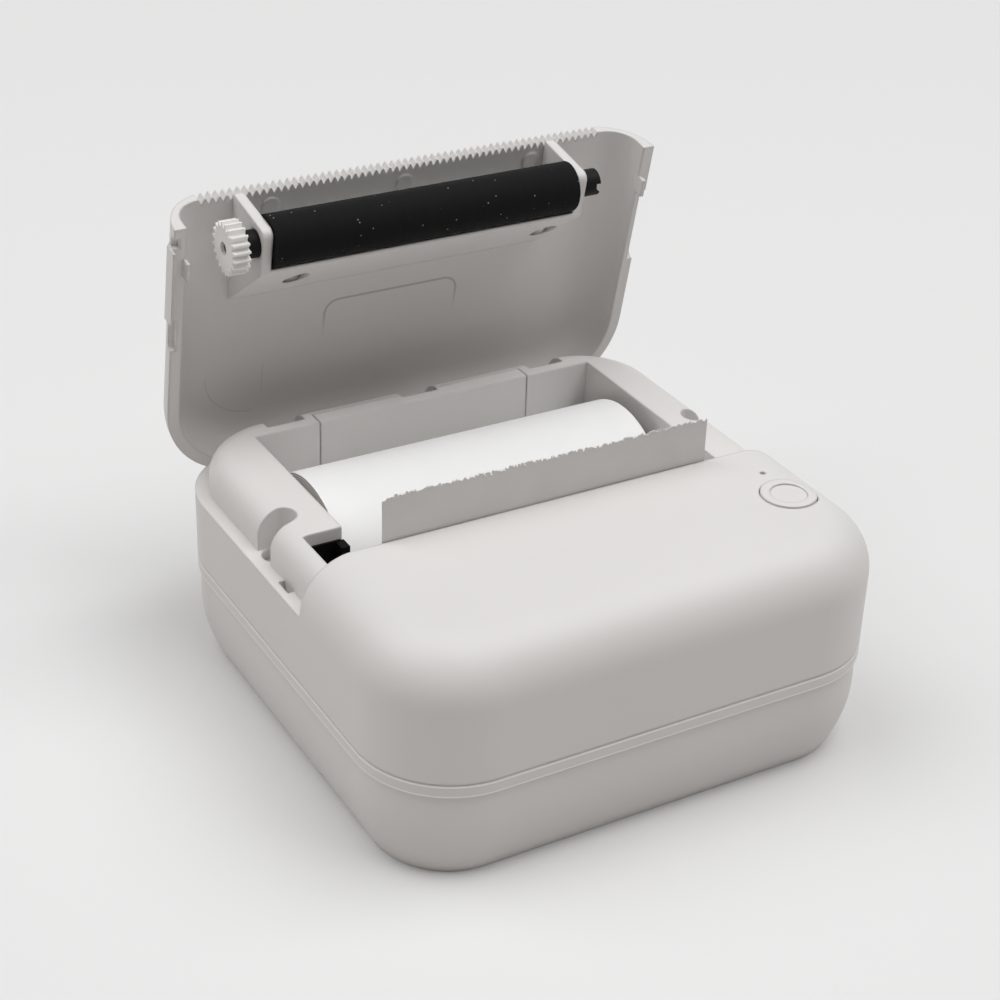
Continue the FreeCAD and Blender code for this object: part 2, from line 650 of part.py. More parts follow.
# Gears: a root disc with straight-flanked teeth, modelled along z and turned to lie along x
def gear_body(name, wheels, bore):
    """One body with a toothed wheel for each (teeth alias, start, width)."""
    body = new_body(name)
    for teeth, start, width in wheels:
        count = size(teeth)
        root = module * (count / 2 - 1.25)
        disc_sketch = sketch_on(body, "XY_Plane", start)
        circle(disc_sketch, root)
        pad(body, disc_sketch, width)
        tooth_sketch = sketch_on(body, "XY_Plane", start)
        inner = root - module / 4
        tip = gear_tip(teeth)
        outline(tooth_sketch, [(inner, -module * 1.1), (tip, -module * 0.37),
                               (tip, module * 0.37), (inner, module * 1.1)])
        tooth = pad(body, tooth_sketch, width)
        ring = body.newObject("PartDesign::PolarPattern", body.Name + "_ring")
        ring.Originals = [tooth]
        ring.Axis = (origin_feature(body, "Z_Axis"), [""])
        ring.Angle = 360
        ring.Occurrences = int(count.number)
        body.Tip = ring
        doc.recompute()
    bore_sketch = sketch_on(body, "XY_Plane", wheels[0][1] - 1)
    circle(bore_sketch, bore)
    pocket(body, bore_sketch, half_width)
    return body


def gear_place(y, z, toward):
    """Placement of a gear on an axis along x, with a tooth pointing toward (y, z)."""
    spin = math.degrees(math.atan2(toward[0], -toward[1]))
    turn = FreeCAD.Rotation(FreeCAD.Vector(1, 0, 0), spin)
    return FreeCAD.Placement(FreeCAD.Vector(0, y.number, z.number), turn.multiply(TURNED["x"]))


# Feed drive: motor, pinion and compound idler under the gear well
thin_left = gear_left - size("thin_beyond")
thin_right = thin_left + size("thin_gear")
drive_end = thin_left - size("drive_proud")
toward_motor = (motor_y.number - idler_y.number, motor_z.number - idler_z.number)
half_tooth = math.pi / SIZES["pinion_teeth"]
gap_turn = math.atan2(-toward_motor[1], -toward_motor[0]) + half_tooth
pinion_toward = (math.cos(gap_turn), math.sin(gap_turn))

motor_pinion = gear_body("motor_pinion", [("pinion_teeth", thin_left, size("thin_gear"))],
                         size("motor_shaft") + size("press_fit"))
small_width = gear_left + size("gear_width") - thin_right
idler_gear = gear_body("idler_gear", [("idler_large_teeth", thin_left, size("thin_gear") + 0.1),
                                      ("idler_small_teeth", thin_right, small_width)],
                       size("post_radius") + size("pin_fit"))
idler_post = rod("idler_post", "x", (drive_end, plate_left + size("chassis_plate")), idler_y, idler_z,
                 size("post_radius"))
motor_shaft = rod("motor_shaft", "x", (drive_end, chassis_left + size("motor_length") - 1),
                  motor_y, motor_z, size("motor_shaft"))
motor_can = rod("motor_can", "x", (chassis_left, chassis_left + size("motor_length")),
                motor_y, motor_z, size("motor_radius"))
feed_motor = cut("feed_motor", motor_can,
                 [rod("motor_bore", "x", (plate_left, chassis_left + size("motor_length") - 0.9),
                      motor_y, motor_z, size("motor_shaft") + size("pin_fit"))])

# Mechanism chassis: two side plates with slots for the platen bushes, joined by a beam,
# with a lining for the gear well and a guide post behind the left bush
beam_rear = foot_front + size("chassis_plate")
beam_low = motor_z + size("motor_radius") + size("chassis_plate")
chassis_top = platen_z + size("chassis_rise")
plate_rear = well_rear - size("press_fit") * 5
slot_rear = platen_y + bush_room + size("bush_swing")
chassis_adds = [block("beam", (plate_left, chassis_right + size("chassis_plate")), (foot_front, beam_rear),
                      (beam_low, platen_z + size("beam_rise")))]
chassis_cuts = []
for left in (plate_left, chassis_right):
    right = left + size("chassis_plate")
    chassis_adds.append(block("side_plate", (left, right), (foot_front, plate_rear),
                              (chassis_foot, chassis_top)))
    chassis_adds.append(block("plate_foot", (left, right), (foot_front - size("foot_length"), foot_front + 1),
                              (chassis_foot, chassis_foot + size("chassis_plate"))))
    chassis_cuts.append(rod("bush_slot_end", "x", (left - 1, right + 1), platen_y, platen_z, bush_room))
    chassis_cuts.append(block("bush_slot", (left - 1, right + 1), (platen_y - bush_room, slot_rear),
                              (platen_z, chassis_top + 1)))
shaft_hole = size("motor_shaft") + size("pin_fit") * 2
chassis_cuts.append(rod("shaft_hole", "x", (plate_left - 1, chassis_left + 1), motor_y, motor_z, shaft_hole))
chassis_cuts.append(rod("post_hole", "x", (plate_left - 1, chassis_left + 1), idler_y, idler_z,
                        size("post_radius") + size("press_fit")))
chassis_form = cut("chassis_form", joined("chassis_solid", chassis_adds), chassis_cuts)
liner_left = well_left + size("press_fit") * 5
liner_top = frame_top - size("liner_drop")
liner_levels = (platen_z - 0.1, liner_top)
liner_rear = block("liner_rear", (liner_left, plate_left + size("chassis_plate")),
                   (plate_rear - size("liner_wall"), plate_rear), liner_levels)
liner_side = block("liner_side", (liner_left, liner_left + size("liner_wall")),
                   (block_rear + size("press_fit") * 5, plate_rear), liner_levels)
guide_post = block("guide_post", (chassis_left - size("ear_gap") * 4, ear_left_out - size("ear_gap")),
                   (slot_rear, plate_rear), (chassis_top - 2, platen_z + size("guide_rise")))
mech_chassis = joined("mech_chassis", [chassis_form, liner_rear, liner_side, guide_post])

# Print head: a ceramic strip on an aluminium heat sink, pushed back by two leaf springs
def head_bar(name, margin, front, rear, low, tall):
    return block(name, (paper_left - margin, paper_right + margin), (front, rear),
                 (platen_z - low, platen_z - low + tall))


sink_face = head_face - size("head_thickness")
sink_rear = sink_face - size("sink_thickness")
print_head = head_bar("print_head", size("head_margin"), sink_face, head_face,
                      size("head_low"), size("head_tall"))
head_sink = head_bar("head_sink", size("sink_margin"), sink_rear, sink_face,
                     size("sink_low"), size("sink_tall"))


def leaf_spring(middle):
    """A hat-shaped strip of spring steel between the beam and the heat sink."""
    body = new_body("leaf_spring")
    sketch = sketch_on(body, "XY_Plane", platen_z - size("sink_low") / 2)
    reach = size("spring_width") / 2
    flat = reach / 2
    thick = size("spring_thickness")
    outline(sketch, [(middle - reach * 2, beam_rear), (middle - reach, beam_rear),
                     (middle - flat, sink_rear - thick), (middle + flat, sink_rear - thick),
                     (middle + reach, beam_rear), (middle + reach * 2, beam_rear),
                     (middle + reach * 2, beam_rear + thick),
                     (middle + reach - thick / 2, beam_rear + thick),
                     (middle + flat + thick / 2, sink_rear), (middle - flat - thick / 2, sink_rear),
                     (middle - reach + thick / 2, beam_rear + thick),
                     (middle - reach * 2, beam_rear + thick)])
    pad(body, sketch, size("sink_low"))
    return body


head_springs = group("head_springs",
                     [leaf_spring(paper_width * size("spring_share") * side) for side in SIDES])

# Electronics: main board, battery, socket on its own small board, button board with switch
circuit_board = block("circuit_board", (board_left, board_right), (board_front, board_rear),
                      (floor + size("board_post"), board_top))
battery_left = -paper_width * size("battery_left_share")
battery = block("battery", (battery_left, battery_left + paper_width * size("battery_share")),
                (board_front + 0.5, board_rear - size("battery_rear_gap")),
                (board_top, board_top + size("battery_height")))
usb_board_half = size("usb_board_width") / 2
bin_hang = roll_z - size("usb_level")
usb_board_front = roll_y + root_of(bin_outer * bin_outer - bin_hang * bin_hang) + size("usb_board_gap")
usb_board = block("usb_board", (-usb_board_half, usb_board_half),
                  (usb_board_front, usb_board_rear),
                  (size("usb_level") - size("board_thickness"), size("usb_level")))
usb_rear = half_depth - size("usb_recess")
usb_side = size("usb_width") / 2
usb_top = size("usb_level") + size("usb_height")
usb_wall = size("usb_wall")
usb_socket = cut("usb_socket",
                 block("usb_can", (-usb_side, usb_side), (usb_rear - size("usb_depth"), usb_rear),
                       (size("usb_level"), usb_top)),
                 [block("usb_mouth", (usb_wall - usb_side, usb_side - usb_wall),
                        (usb_rear - size("usb_depth") + 1, usb_rear + 1),
                        (size("usb_level") + usb_wall, usb_top - usb_wall))])
switch_half = size("switch_size") / 2
button_board_half = switch_half + size("switch_margin")
button_board_under = cavity_top - size("board_thickness")
button_board = block("button_board", (button_x - button_board_half, button_x + button_board_half),
                     (button_y - button_board_half, lens_y + 1), (button_board_under, cavity_top))
plunger_top = cavity_top + size("switch_height") + size("plunger_height")
button_switch = joined("button_switch", [
    block("switch_case", (button_x - switch_half, button_x + switch_half),
          (button_y - switch_half, button_y + switch_half), (cavity_top, cavity_top + size("switch_height"))),
    rod("switch_plunger", "z", (cavity_top, plunger_top), button_x, button_y, switch_half / 2)])
indicator_lens = joined("indicator_lens", [
    rod("lens_pipe", "z", (cavity_top, top - size("lens_sunk")), lens_x, lens_y, size("lens_radius")),
    rod("lens_foot", "z", (cavity_top, cavity_top + 1), lens_x, lens_y,
        size("lens_radius") * 2)])

# Power button: its crown follows the rounded edge of the block, with a flange below the roof
crown = size("button_proud")
crown_body = new_body("button_crown")
crown_sketch = sketch_on(crown_body, "XZ_Plane", -button_y - flange_radius)
outline(crown_sketch, [(button_x - flange_radius, button_under - 2), (half_width + crown, button_under - 2),
                       (half_width + crown, top + crown, top_round + crown),
                       (button_x - flange_radius, top + crown)])
pad(crown_body, crown_sketch, flange_radius * 2)
crown_common = doc.addObject("Part::Common", "button_cap")
crown_common.Base = crown_body
flange_top = button_under - size("button_seat")
stem_foot = plunger_top + size("button_travel_room")
flange_under = flange_top - size("button_flange")
crown_common.Tool = rod("button_shank", "z", (flange_under, top + 1), button_x, button_y,
                        size("button_radius"))
dish = rod("button_dish", "z", (top + crown - size("dish_depth"), top + 1), button_x, button_y,
           size("button_dish"))
power_button = cut("power_button", joined("button_solid", [
    crown_common,
    rod("button_flange", "z", (flange_under, flange_top), button_x, button_y, flange_radius),
    rod("button_stem", "z", (stem_foot, flange_top), button_x, button_y, size("button_stem"))]), [dish])

# Paper: the roll on its core, and the web that runs up the ramp and out of the mouth
roll_ends = (paper_left - size("paper_shift") + size("roll_shift"),
             paper_right - size("paper_shift") + size("roll_shift") + size("roll_slip"))
core_radius = roll_radius * size("core_share")
paper_roll = tube("paper_roll", roll_ends, roll_y, roll_z, roll_radius, core_radius)
roll_core = tube("roll_core", roll_ends, roll_y, roll_z, core_radius - size("press_fit"),
                 core_radius - size("core_wall"))
web_inner = roll_radius + size("web_gap")
web_outer = web_inner + size("paper_thickness")
strip_top = top + size("strip_rise")


def web_start(distance):
    return (roll_y - distance * sine(ramp), roll_z - distance * cosine(ramp))


paper_web = profile_body("paper_web", paper_left, paper_right, [
    web_start(web_inner),
    web_start(web_outer),
    (web_front, ramp_level(web_outer, web_front), size("web_bend") + size("paper_thickness")),
    (web_front, strip_top),
    (web_rear, strip_top),
    (web_rear, ramp_level(web_inner, web_rear), size("web_bend"))])


# Case screws: two in the notches beside the bay and two under the front corners
def screw(name, x, y, head, tip):
    """A cap screw along z from the outer face of its head to its tip, up or down."""
    upward = tip.number > head.number
    under = head + size("head_height") if upward else head - size("head_height")
    head_ends = (head, under) if upward else (under, head)
    shank_ends = (under, tip) if upward else (tip, under)
    return joined(name, [rod(name + "_head", "z", head_ends, x, y, size("screw_head")),
                         rod(name + "_shank", "z", shank_ends, x, y, size("screw_radius"))])


screws = []
for side in SIDES:
    screws.append(screw("side_screw", screw_side * side, notch_place,
                        ledge - size("head_height") / 2, floor * 4))
    screws.append(screw("front_screw", front_screw_side * side, front_screw_place,
                        size("screw_fit"), front_boss_top - 1))
case_screws = group("case_screws", screws)

# Top cover, modelled closed: an arched lid with the tear edge, knuckles, lips and latch tabs
cover_front = block_rear + size("mouth_width")
cover_body, cover_pad = plan_body("cover_form", rim, top, inset=as_size(0), front=cover_front)
hollow_sketch = sketch_on(cover_body, "XY_Plane", rim - 1)
outline(hollow_sketch, rounded_plan(size("cover_wall"), front=cover_front - 1))
cover_hollow = pocket(cover_body, hollow_sketch, panel - rim + 1)
front_limit = cover_front.number + 0.01


def inner_edge(box, edge):
    return at_level(panel.number)(box, edge) and box.YMax > front_limit


def outer_edge(box, edge):
    return at_level(top.number)(box, edge) and box.YMax > front_limit


inner_round = dress(cover_body, "Fillet", cover_hollow, inner_edge,
                    Radius=size("surround_round") + size("cover_gap"))
dress(cover_body, "Fillet", inner_round, outer_edge, Radius=top_round)

teeth_body = new_body("tear_grooves")
groove_sketch = sketch_on(teeth_body, "XY_Plane", panel - 1)
pitch = size("tooth_pitch")
tooth_side = roof_side + size("tooth_reach")
groove_first = pitch / 2 - tooth_side
outline(groove_sketch, [(groove_first - pitch * 0.45, cover_front - 0.1),
                        (groove_first + pitch * 0.45, cover_front - 0.1),
                        (groove_first, cover_front + size("tooth_depth"))])
groove = pad(teeth_body, groove_sketch, size("cover_wall") + 2)
tooth_row = teeth_body.newObject("PartDesign::LinearPattern", "tear_row")
tooth_row.Originals = [groove]
tooth_row.Direction = (origin_feature(teeth_body, "X_Axis"), [""])
tooth_row.Mode = "Spacing"
bind(tooth_row, Offset=pitch)
tooth_row.Occurrences = int(2 * tooth_side.number / pitch.number)
teeth_body.Tip = tooth_row

nail_rear = block_rear + size("nail_end")
lip_front = block_rear + size("lip_behind")
lip_rear = lip_front + size("lip_length")
nail_levels = (rim - 1, rim + size("nail_depth"))
nail_left = (-half_width - 1, size("nail_bite") - half_width)
nail_right = (half_width - size("nail_bite"), half_width + 1)
nail_cuts = [block("lip_notch", nail_left, (lip_front - size("lip_notch"), lip_front), nail_levels),
             block("lip_recess", nail_left, (lip_rear, nail_rear), nail_levels),
             block("nail_recess", nail_right, (block_rear + size("nail_behind"), nail_rear), nail_levels)]
for ends in (nail_left, nail_right):
    nail_cuts.append(rod("nail_round", "x", ends, nail_rear, rim, size("nail_depth")))
cover_cut = cut("cover_cut", cover_body, [teeth_body] + nail_cuts)

cover_adds = [cover_cut]
for middle in KNUCKLES:
    ends = (middle - knuckle_half, middle + knuckle_half)
    knuckle_front = hinge_y - size("hinge_inset")
    neck_top = rim + size("nail_depth")
    cover_adds.append(rod("knuckle", "x", ends, hinge_y, hinge_z, size("hinge_inset")))
    cover_adds.append(block("knuckle_neck", ends, (knuckle_front, half_depth), (hinge_z, neck_top - 0.3)))
    cover_adds.append(block("knuckle_arm", ends, (knuckle_front, half_depth - size("cover_wall") / 2),
                            (neck_top - 1, neck_top + size("cover_wall"))))
for side in SIDES:
    tab_x = tab_side * side
    tab_half = size("tab_thickness") / 2
    cover_adds.append(block("latch_tab", (tab_x - tab_half, tab_x + tab_half),
                            (tab_middle - size("tab_length") / 2, tab_middle + size("tab_length") / 2),
                            (ledge - size("tab_drop") + size("tab_fit"), rim + 1)))
lip_body = new_body("finger_lip")
lip_sketch = sketch_on(lip_body, "XZ_Plane", -lip_rear)
lip_out = -half_width - size("lip_proud")
lip_in = -half_width - size("lip_gap")
lip_root = size("lip_proud") - half_width
lip_low = rim - size("lip_drop")
outline(lip_sketch, [(lip_root, rim), (lip_in, rim), (lip_in, lip_low), (lip_out, lip_low),
                     (lip_out, rim + size("lip_drop")), (lip_root, rim + size("lip_drop") * 2)])
pad(lip_body, lip_sketch, size("lip_length"))
cover_adds.append(lip_body)
boss_low = panel - size("cover_wall")
boss_radius = size("screw_head") + size("cover_gap")
bracket_y = platen_y + size("bracket_screw_behind")
bracket_half = paper_width / 2 - size("bracket_screw_inset")
BRACKET_SCREWS = [size("bracket_screw_shift") + bracket_half * side for side in SIDES]
cover_bores = [rod("knuckle_bore", "x", (-rail_side - 1, rail_side + 1), hinge_y, hinge_z,
                   size("pin_radius") + size("pin_fit"))]
for x in BRACKET_SCREWS:
    cover_adds.append(rod("bracket_boss", "z", (boss_low, panel + 0.5), x, bracket_y, boss_radius))
    cover_bores.append(rod("boss_pilot", "z", (boss_low - 1, panel + 1), x, bracket_y,
                           size("screw_radius") + size("press_fit")))
for step in (-1, 0, 1):
    cover_adds.append(rod("mould_mark", "z", (panel - size("mark_proud"), panel + 0.5),
                          paper_width * size("mark_share") * step - size("mark_shift"),
                          platen_y, size("mark_radius")))
top_cover = cut("top_cover", joined("cover_solid", cover_adds), cover_bores)

# Platen bracket: two ears and a sloped back that clears the paper roll, screwed under the panel
ear_front = platen_y - size("ear_front")
ear_nose = platen_z - size("ear_drop")
bracket_solid = profile_body("bracket_solid", ear_left_out, ear_right_out, [
    (ear_front, panel), (ear_front, ear_nose, size("ear_round")),
    (platen_y + size("nose_rear"), ear_nose, size("ear_round")), (platen_y + size("bracket_rear"), panel)])
trough = size("platen_radius") + size("trough_gap")
bush_hole = size("bush_radius") + size("press_fit")
head_seat = panel - size("cover_wall") - size("head_height")
bracket_cuts = [
    rod("trough_round", "x", (ear_left, ear_right), platen_y, platen_z, trough),
    block("trough_top", (ear_left, ear_right), (ear_front - 1, platen_y + trough), (platen_z, panel + 1)),
    block("trough_front", (ear_left, ear_right), (ear_front - 1, platen_y),
          (ear_nose - 1, panel + 1)),
    rod("bush_holes", "x", (ear_left_out - 1, ear_right_out + 1), platen_y, platen_z, bush_hole)]
for x in BRACKET_SCREWS:
    bracket_cuts.append(rod("boss_room", "z", (boss_low - 0.1, panel + 1), x, bracket_y,
                            boss_radius + size("screw_fit")))
    bracket_cuts.append(rod("bracket_hole", "z", (head_seat - 1, panel), x, bracket_y, screw_hole))
    bracket_cuts.append(rod("bracket_seat", "z", (ear_nose - 1, head_seat), x, bracket_y,
                            size("screw_head") + size("screw_fit")))
platen_bracket = cut("platen_bracket", bracket_solid, bracket_cuts)
bracket_screws = group("bracket_screws", [
    screw("bracket_screw", x, bracket_y, head_seat - size("head_height"), panel + 0.8)
    for x in BRACKET_SCREWS])

# Platen: rubber sleeve and gear on a steel shaft, running in a bush at each ear
bush_bore = size("shaft_radius") + size("pin_fit")
left_bush = tube("left_bush", (bush_left, ear_left), platen_y, platen_z, size("bush_radius"), bush_bore)
right_tube = tube("right_tube", (ear_right, bush_right), platen_y, platen_z, size("bush_radius"), bush_bore)
notch_half = size("bush_notch")
right_bush = cut("right_bush", right_tube,
                 [block("bush_notch", (bush_right - notch_half, bush_right + 1),
                        (platen_y - notch_half, platen_y + notch_half), (platen_z - 4, platen_z))])
platen_bushes = group("platen_bushes", [left_bush, right_bush])
shaft_rod = rod("shaft_rod", "x", (gear_left + size("shaft_short"), bush_right - notch_half),
                platen_y, platen_z, size("shaft_radius"))
platen_rubber = tube("platen_rubber", (platen_left, platen_right), platen_y, platen_z, size("platen_radius"),
                     size("shaft_radius") + size("press_fit"))
platen_gear = gear_body("platen_gear", [("platen_teeth", gear_left, size("gear_width"))],
                        size("shaft_radius") + size("press_fit"))

# The cover and all it carries swing up about the hinge pin
doc.recompute()
swing = FreeCAD.Rotation(FreeCAD.Vector(1, 0, 0), -size("open_angle").number)
opened = FreeCAD.Placement(FreeCAD.Vector(), swing, FreeCAD.Vector(0, hinge_y.number, hinge_z.number))
motor_pinion.Placement = gear_place(motor_y, motor_z, pinion_toward)
idler_gear.Placement = gear_place(idler_y, idler_z, toward_motor)
platen_gear.Placement = gear_place(platen_y, platen_z, (0, -1))
platen_gear.Placement = opened.multiply(platen_gear.Placement)
platen_shaft = group("platen_shaft", [shaft_rod])
for piece in (top_cover, platen_bracket, bracket_screws, platen_bushes, platen_rubber, platen_shaft):
    piece.Placement = opened
doc.recompute()

PIECES = {
    "lower_shell": lower_shell, "upper_shell": upper_shell, "hinge_cover": hinge_cover,
    "paper_bin": paper_bin, "hinge_pin": hinge_pin, "mech_chassis": mech_chassis,
    "feed_motor": feed_motor, "motor_shaft": motor_shaft, "motor_pinion": motor_pinion,
    "idler_post": idler_post, "idler_gear": idler_gear, "print_head": print_head,
    "head_sink": head_sink, "head_springs": head_springs, "circuit_board": circuit_board,
    "battery": battery, "usb_board": usb_board, "usb_socket": usb_socket,
    "button_board": button_board, "button_switch": button_switch, "indicator_lens": indicator_lens,
    "power_button": power_button, "paper_roll": paper_roll, "roll_core": roll_core,
    "paper_web": paper_web, "case_screws": case_screws, "top_cover": top_cover,
    "platen_bracket": platen_bracket, "bracket_screws": bracket_screws, "platen_bushes": platen_bushes,
    "platen_shaft": platen_shaft, "platen_rubber": platen_rubber, "platen_gear": platen_gear,
}

# Every object has to be sound before anything is written
failed = [item.Name for item in doc.Objects if "Invalid" in item.State or "Error" in item.State]
for label, piece in PIECES.items():
    if piece.Shape.isNull() or not piece.Shape.isValid() or not piece.Shape.Solids:
        failed.append(label)
if failed:
    raise RuntimeError("unsound: " + ", ".join(failed))

os.makedirs("parts", exist_ok=True)
for label, piece in PIECES.items():
    piece.Shape.exportStep(os.path.join("parts", label + ".step"))
    print("%-16s %d solid(s) %9.1f mm3" % (label, len(piece.Shape.Solids), piece.Shape.Volume))
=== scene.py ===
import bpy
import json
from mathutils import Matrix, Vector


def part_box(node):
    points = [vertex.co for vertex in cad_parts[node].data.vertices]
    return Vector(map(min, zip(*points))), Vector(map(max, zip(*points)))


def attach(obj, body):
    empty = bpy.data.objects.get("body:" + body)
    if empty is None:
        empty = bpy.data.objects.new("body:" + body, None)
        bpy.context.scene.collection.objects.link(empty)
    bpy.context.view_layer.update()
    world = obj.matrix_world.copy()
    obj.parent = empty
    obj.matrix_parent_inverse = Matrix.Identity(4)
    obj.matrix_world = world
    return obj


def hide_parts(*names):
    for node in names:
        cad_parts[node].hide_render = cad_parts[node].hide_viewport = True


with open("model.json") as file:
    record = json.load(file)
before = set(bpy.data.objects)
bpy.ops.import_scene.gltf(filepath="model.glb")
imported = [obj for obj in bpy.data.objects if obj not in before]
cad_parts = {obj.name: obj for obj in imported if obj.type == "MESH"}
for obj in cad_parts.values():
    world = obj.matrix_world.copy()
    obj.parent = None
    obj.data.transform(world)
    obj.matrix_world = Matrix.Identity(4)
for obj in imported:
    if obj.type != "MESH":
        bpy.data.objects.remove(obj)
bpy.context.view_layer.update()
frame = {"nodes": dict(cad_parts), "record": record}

import json
import math
import random

import bmesh
import bpy
from mathutils import Matrix, Vector

scene = bpy.context.scene
scene.view_settings.view_transform = "Standard"
cad = frame["nodes"]


# Camera. A long lens stands left of the front corner and looks down on the printer,
# as the picture was taken; the small roll is the camera's own tilt.
EYE = Vector((-0.149473, -0.245612, 0.197754))
YAW, PITCH, ROLL = (math.radians(angle) for angle in (30.558, -29.746, 2.058))
ahead = Vector((math.sin(YAW) * math.cos(PITCH), math.cos(YAW) * math.cos(PITCH), math.sin(PITCH)))
level = Vector((math.cos(YAW), -math.sin(YAW), 0))
upright = level.cross(ahead)
right = level * math.cos(ROLL) + upright * math.sin(ROLL)
above = upright * math.cos(ROLL) - level * math.sin(ROLL)
lens = bpy.data.cameras.new("camera")
lens.sensor_width = 36
lens.lens = 76.5
camera = bpy.data.objects.new("camera", lens)
camera.matrix_world = Matrix((
    (right.x, above.x, -ahead.x, EYE.x), (right.y, above.y, -ahead.y, EYE.y),
    (right.z, above.z, -ahead.z, EYE.z), (0, 0, 0, 1)))
scene.collection.objects.link(camera)
scene.camera = camera


# Studio. A matt pale sheet lies under the printer. One wide softbox hangs high to its front right
# and a second high to its back left, and a weak dome fills the shade.
def linear(code):
    """An sRGB hex colour as linear red, green, blue and alpha."""
    values = [int(code[i:i + 2], 16) / 255 for i in (1, 3, 5)]
    return tuple(v / 12.92 if v <= 0.04045 else ((v + 0.055) / 1.055) ** 2.4 for v in values) + (1,)


def add(tree, kind, settings, links=()):
    """Adds one node, sets its properties and inputs, and links (input, source socket) pairs."""
    made = tree.nodes.new(kind)
    for key, value in settings.items():
        if isinstance(key, int) or key in made.inputs:
            made.inputs[key].default_value = value
        else:
            setattr(made, key, value)
    for key, source in links:
        tree.links.new(source, made.inputs[key])
    return made


def finish(name, roughness, ior=1.5, metallic=0.0):
    """A new material with its tree, its Principled shader and the piece's own coordinates."""
    made = bpy.data.materials.new(name)
    made.use_nodes = True
    shader = made.node_tree.nodes["Principled BSDF"]
    shader.inputs["Roughness"].default_value = roughness
    shader.inputs["IOR"].default_value = ior
    shader.inputs["Metallic"].default_value = metallic
    place = add(made.node_tree, "ShaderNodeTexCoord", {})
    return made, made.node_tree, shader, place.outputs["Object"]


def tinted(tree, shader, low, high, factor):
    """Lets a pattern or mask move the base colour from one tone to another."""
    tone = add(tree, "ShaderNodeMix", {"data_type": "RGBA", 6: linear(low), 7: linear(high)}, [(0, factor)])
    tree.links.new(tone.outputs[2], shader.inputs["Base Color"])
    return tone


sheet_mesh = bpy.data.meshes.new("floor")
sheet_mesh.from_pydata([(-6, -6, 0), (6, -6, 0), (6, 6, 0), (-6, 6, 0)], [], [(0, 1, 2, 3)])
floor = bpy.data.objects.new("floor", sheet_mesh)
scene.collection.objects.link(floor)
floor_paper, tree, shader, place = finish("matt_floor_sheet", 1.0)
shader.inputs["Specular IOR Level"].default_value = 0


def seen(tree):
    """1 for rays that show the backdrop: from the camera, off gloss or through glass."""
    rays = add(tree, "ShaderNodeLightPath", {})
    direct = add(tree, "ShaderNodeMath", {"operation": "MAXIMUM"},
                 [(0, rays.outputs["Is Camera Ray"]), (1, rays.outputs["Is Glossy Ray"])])
    return add(tree, "ShaderNodeMath", {"operation": "MAXIMUM"},
               [(0, direct.outputs[0]), (1, rays.outputs["Is Transmission Ray"])]).outputs[0]


# Less light comes back off the sheet than it shows, so the printer's sides stay darker than its top
tinted(tree, shader, "#D4D1CF", "#EDEDED", seen(tree))
# Away from the printer the sheet fades into the pale backdrop for the rays that show it
BACKDROP, FADE_FROM, FADE_TO = linear("#E8E8E8"), 0.35, 1.0
away = add(tree, "ShaderNodeVectorMath", {"operation": "LENGTH"}, [(0, place)])
sweep = add(tree, "ShaderNodeMapRange", {"From Min": FADE_FROM, "From Max": FADE_TO},
            [("Value", away.outputs["Value"])])
far = add(tree, "ShaderNodeMath", {"operation": "MULTIPLY"}, [(0, sweep.outputs[0]), (1, seen(tree))])
glow = add(tree, "ShaderNodeEmission", {"Color": BACKDROP, "Strength": 1.0})
blended = add(tree, "ShaderNodeMixShader", {},
              [(0, far.outputs[0]), (1, shader.outputs[0]), (2, glow.outputs[0])])
tree.links.new(blended.outputs[0], tree.nodes["Material Output"].inputs["Surface"])
sheet_mesh.materials.append(floor_paper)

dome = bpy.data.worlds.new("dome")
dome.use_nodes = True
tree = dome.node_tree
tree.nodes.clear()
fill = add(tree, "ShaderNodeBackground", {"Color": linear("#FFFBFA"), "Strength": 0.16})
shown = add(tree, "ShaderNodeBackground", {"Color": BACKDROP, "Strength": 1.0})
mixed = add(tree, "ShaderNodeMixShader", {}, [(0, seen(tree)), (1, fill.outputs[0]), (2, shown.outputs[0])])
add(tree, "ShaderNodeOutputWorld", {}, [("Surface", mixed.outputs[0])])
scene.world = dome

for label, position, watts in (("front_softbox", (0.7, -0.42, 1.95), 28),
                               ("left_softbox", (-0.95, 0.5, 1.8), 20.5)):
    softbox = bpy.data.lights.new(label, "AREA")
    softbox.shape = "SQUARE"
    softbox.size = 1.8
    softbox.energy = watts
    lamp = bpy.data.objects.new(label, softbox)
    lamp.location = position
    lamp.rotation_euler = (-Vector(position)).to_track_quat("-Z", "Y").to_euler()
    scene.collection.objects.link(lamp)


# Lower shell. A tray injection moulded in off-white ABS whose sides curve in to the base, with
# a plain band round its mouth. ABS from a spark-eroded mould is matt with a fine even grain.
def dressed(node, material):
    """Gives a CAD piece its material."""
    mesh = cad[node].data
    mesh.materials.clear()
    mesh.materials.append(material)


def relieved(tree, shader, height, strength, distance, normal=None):
    """Raises a pattern out of the surface, over the normal of an earlier relief if one is given."""
    links = [("Height", height)] + ([("Normal", normal)] if normal else [])
    bump = add(tree, "ShaderNodeBump", {"Strength": strength, "Distance": distance}, links)
    tree.links.new(bump.outputs[0], shader.inputs["Normal"])
    return bump.outputs[0]


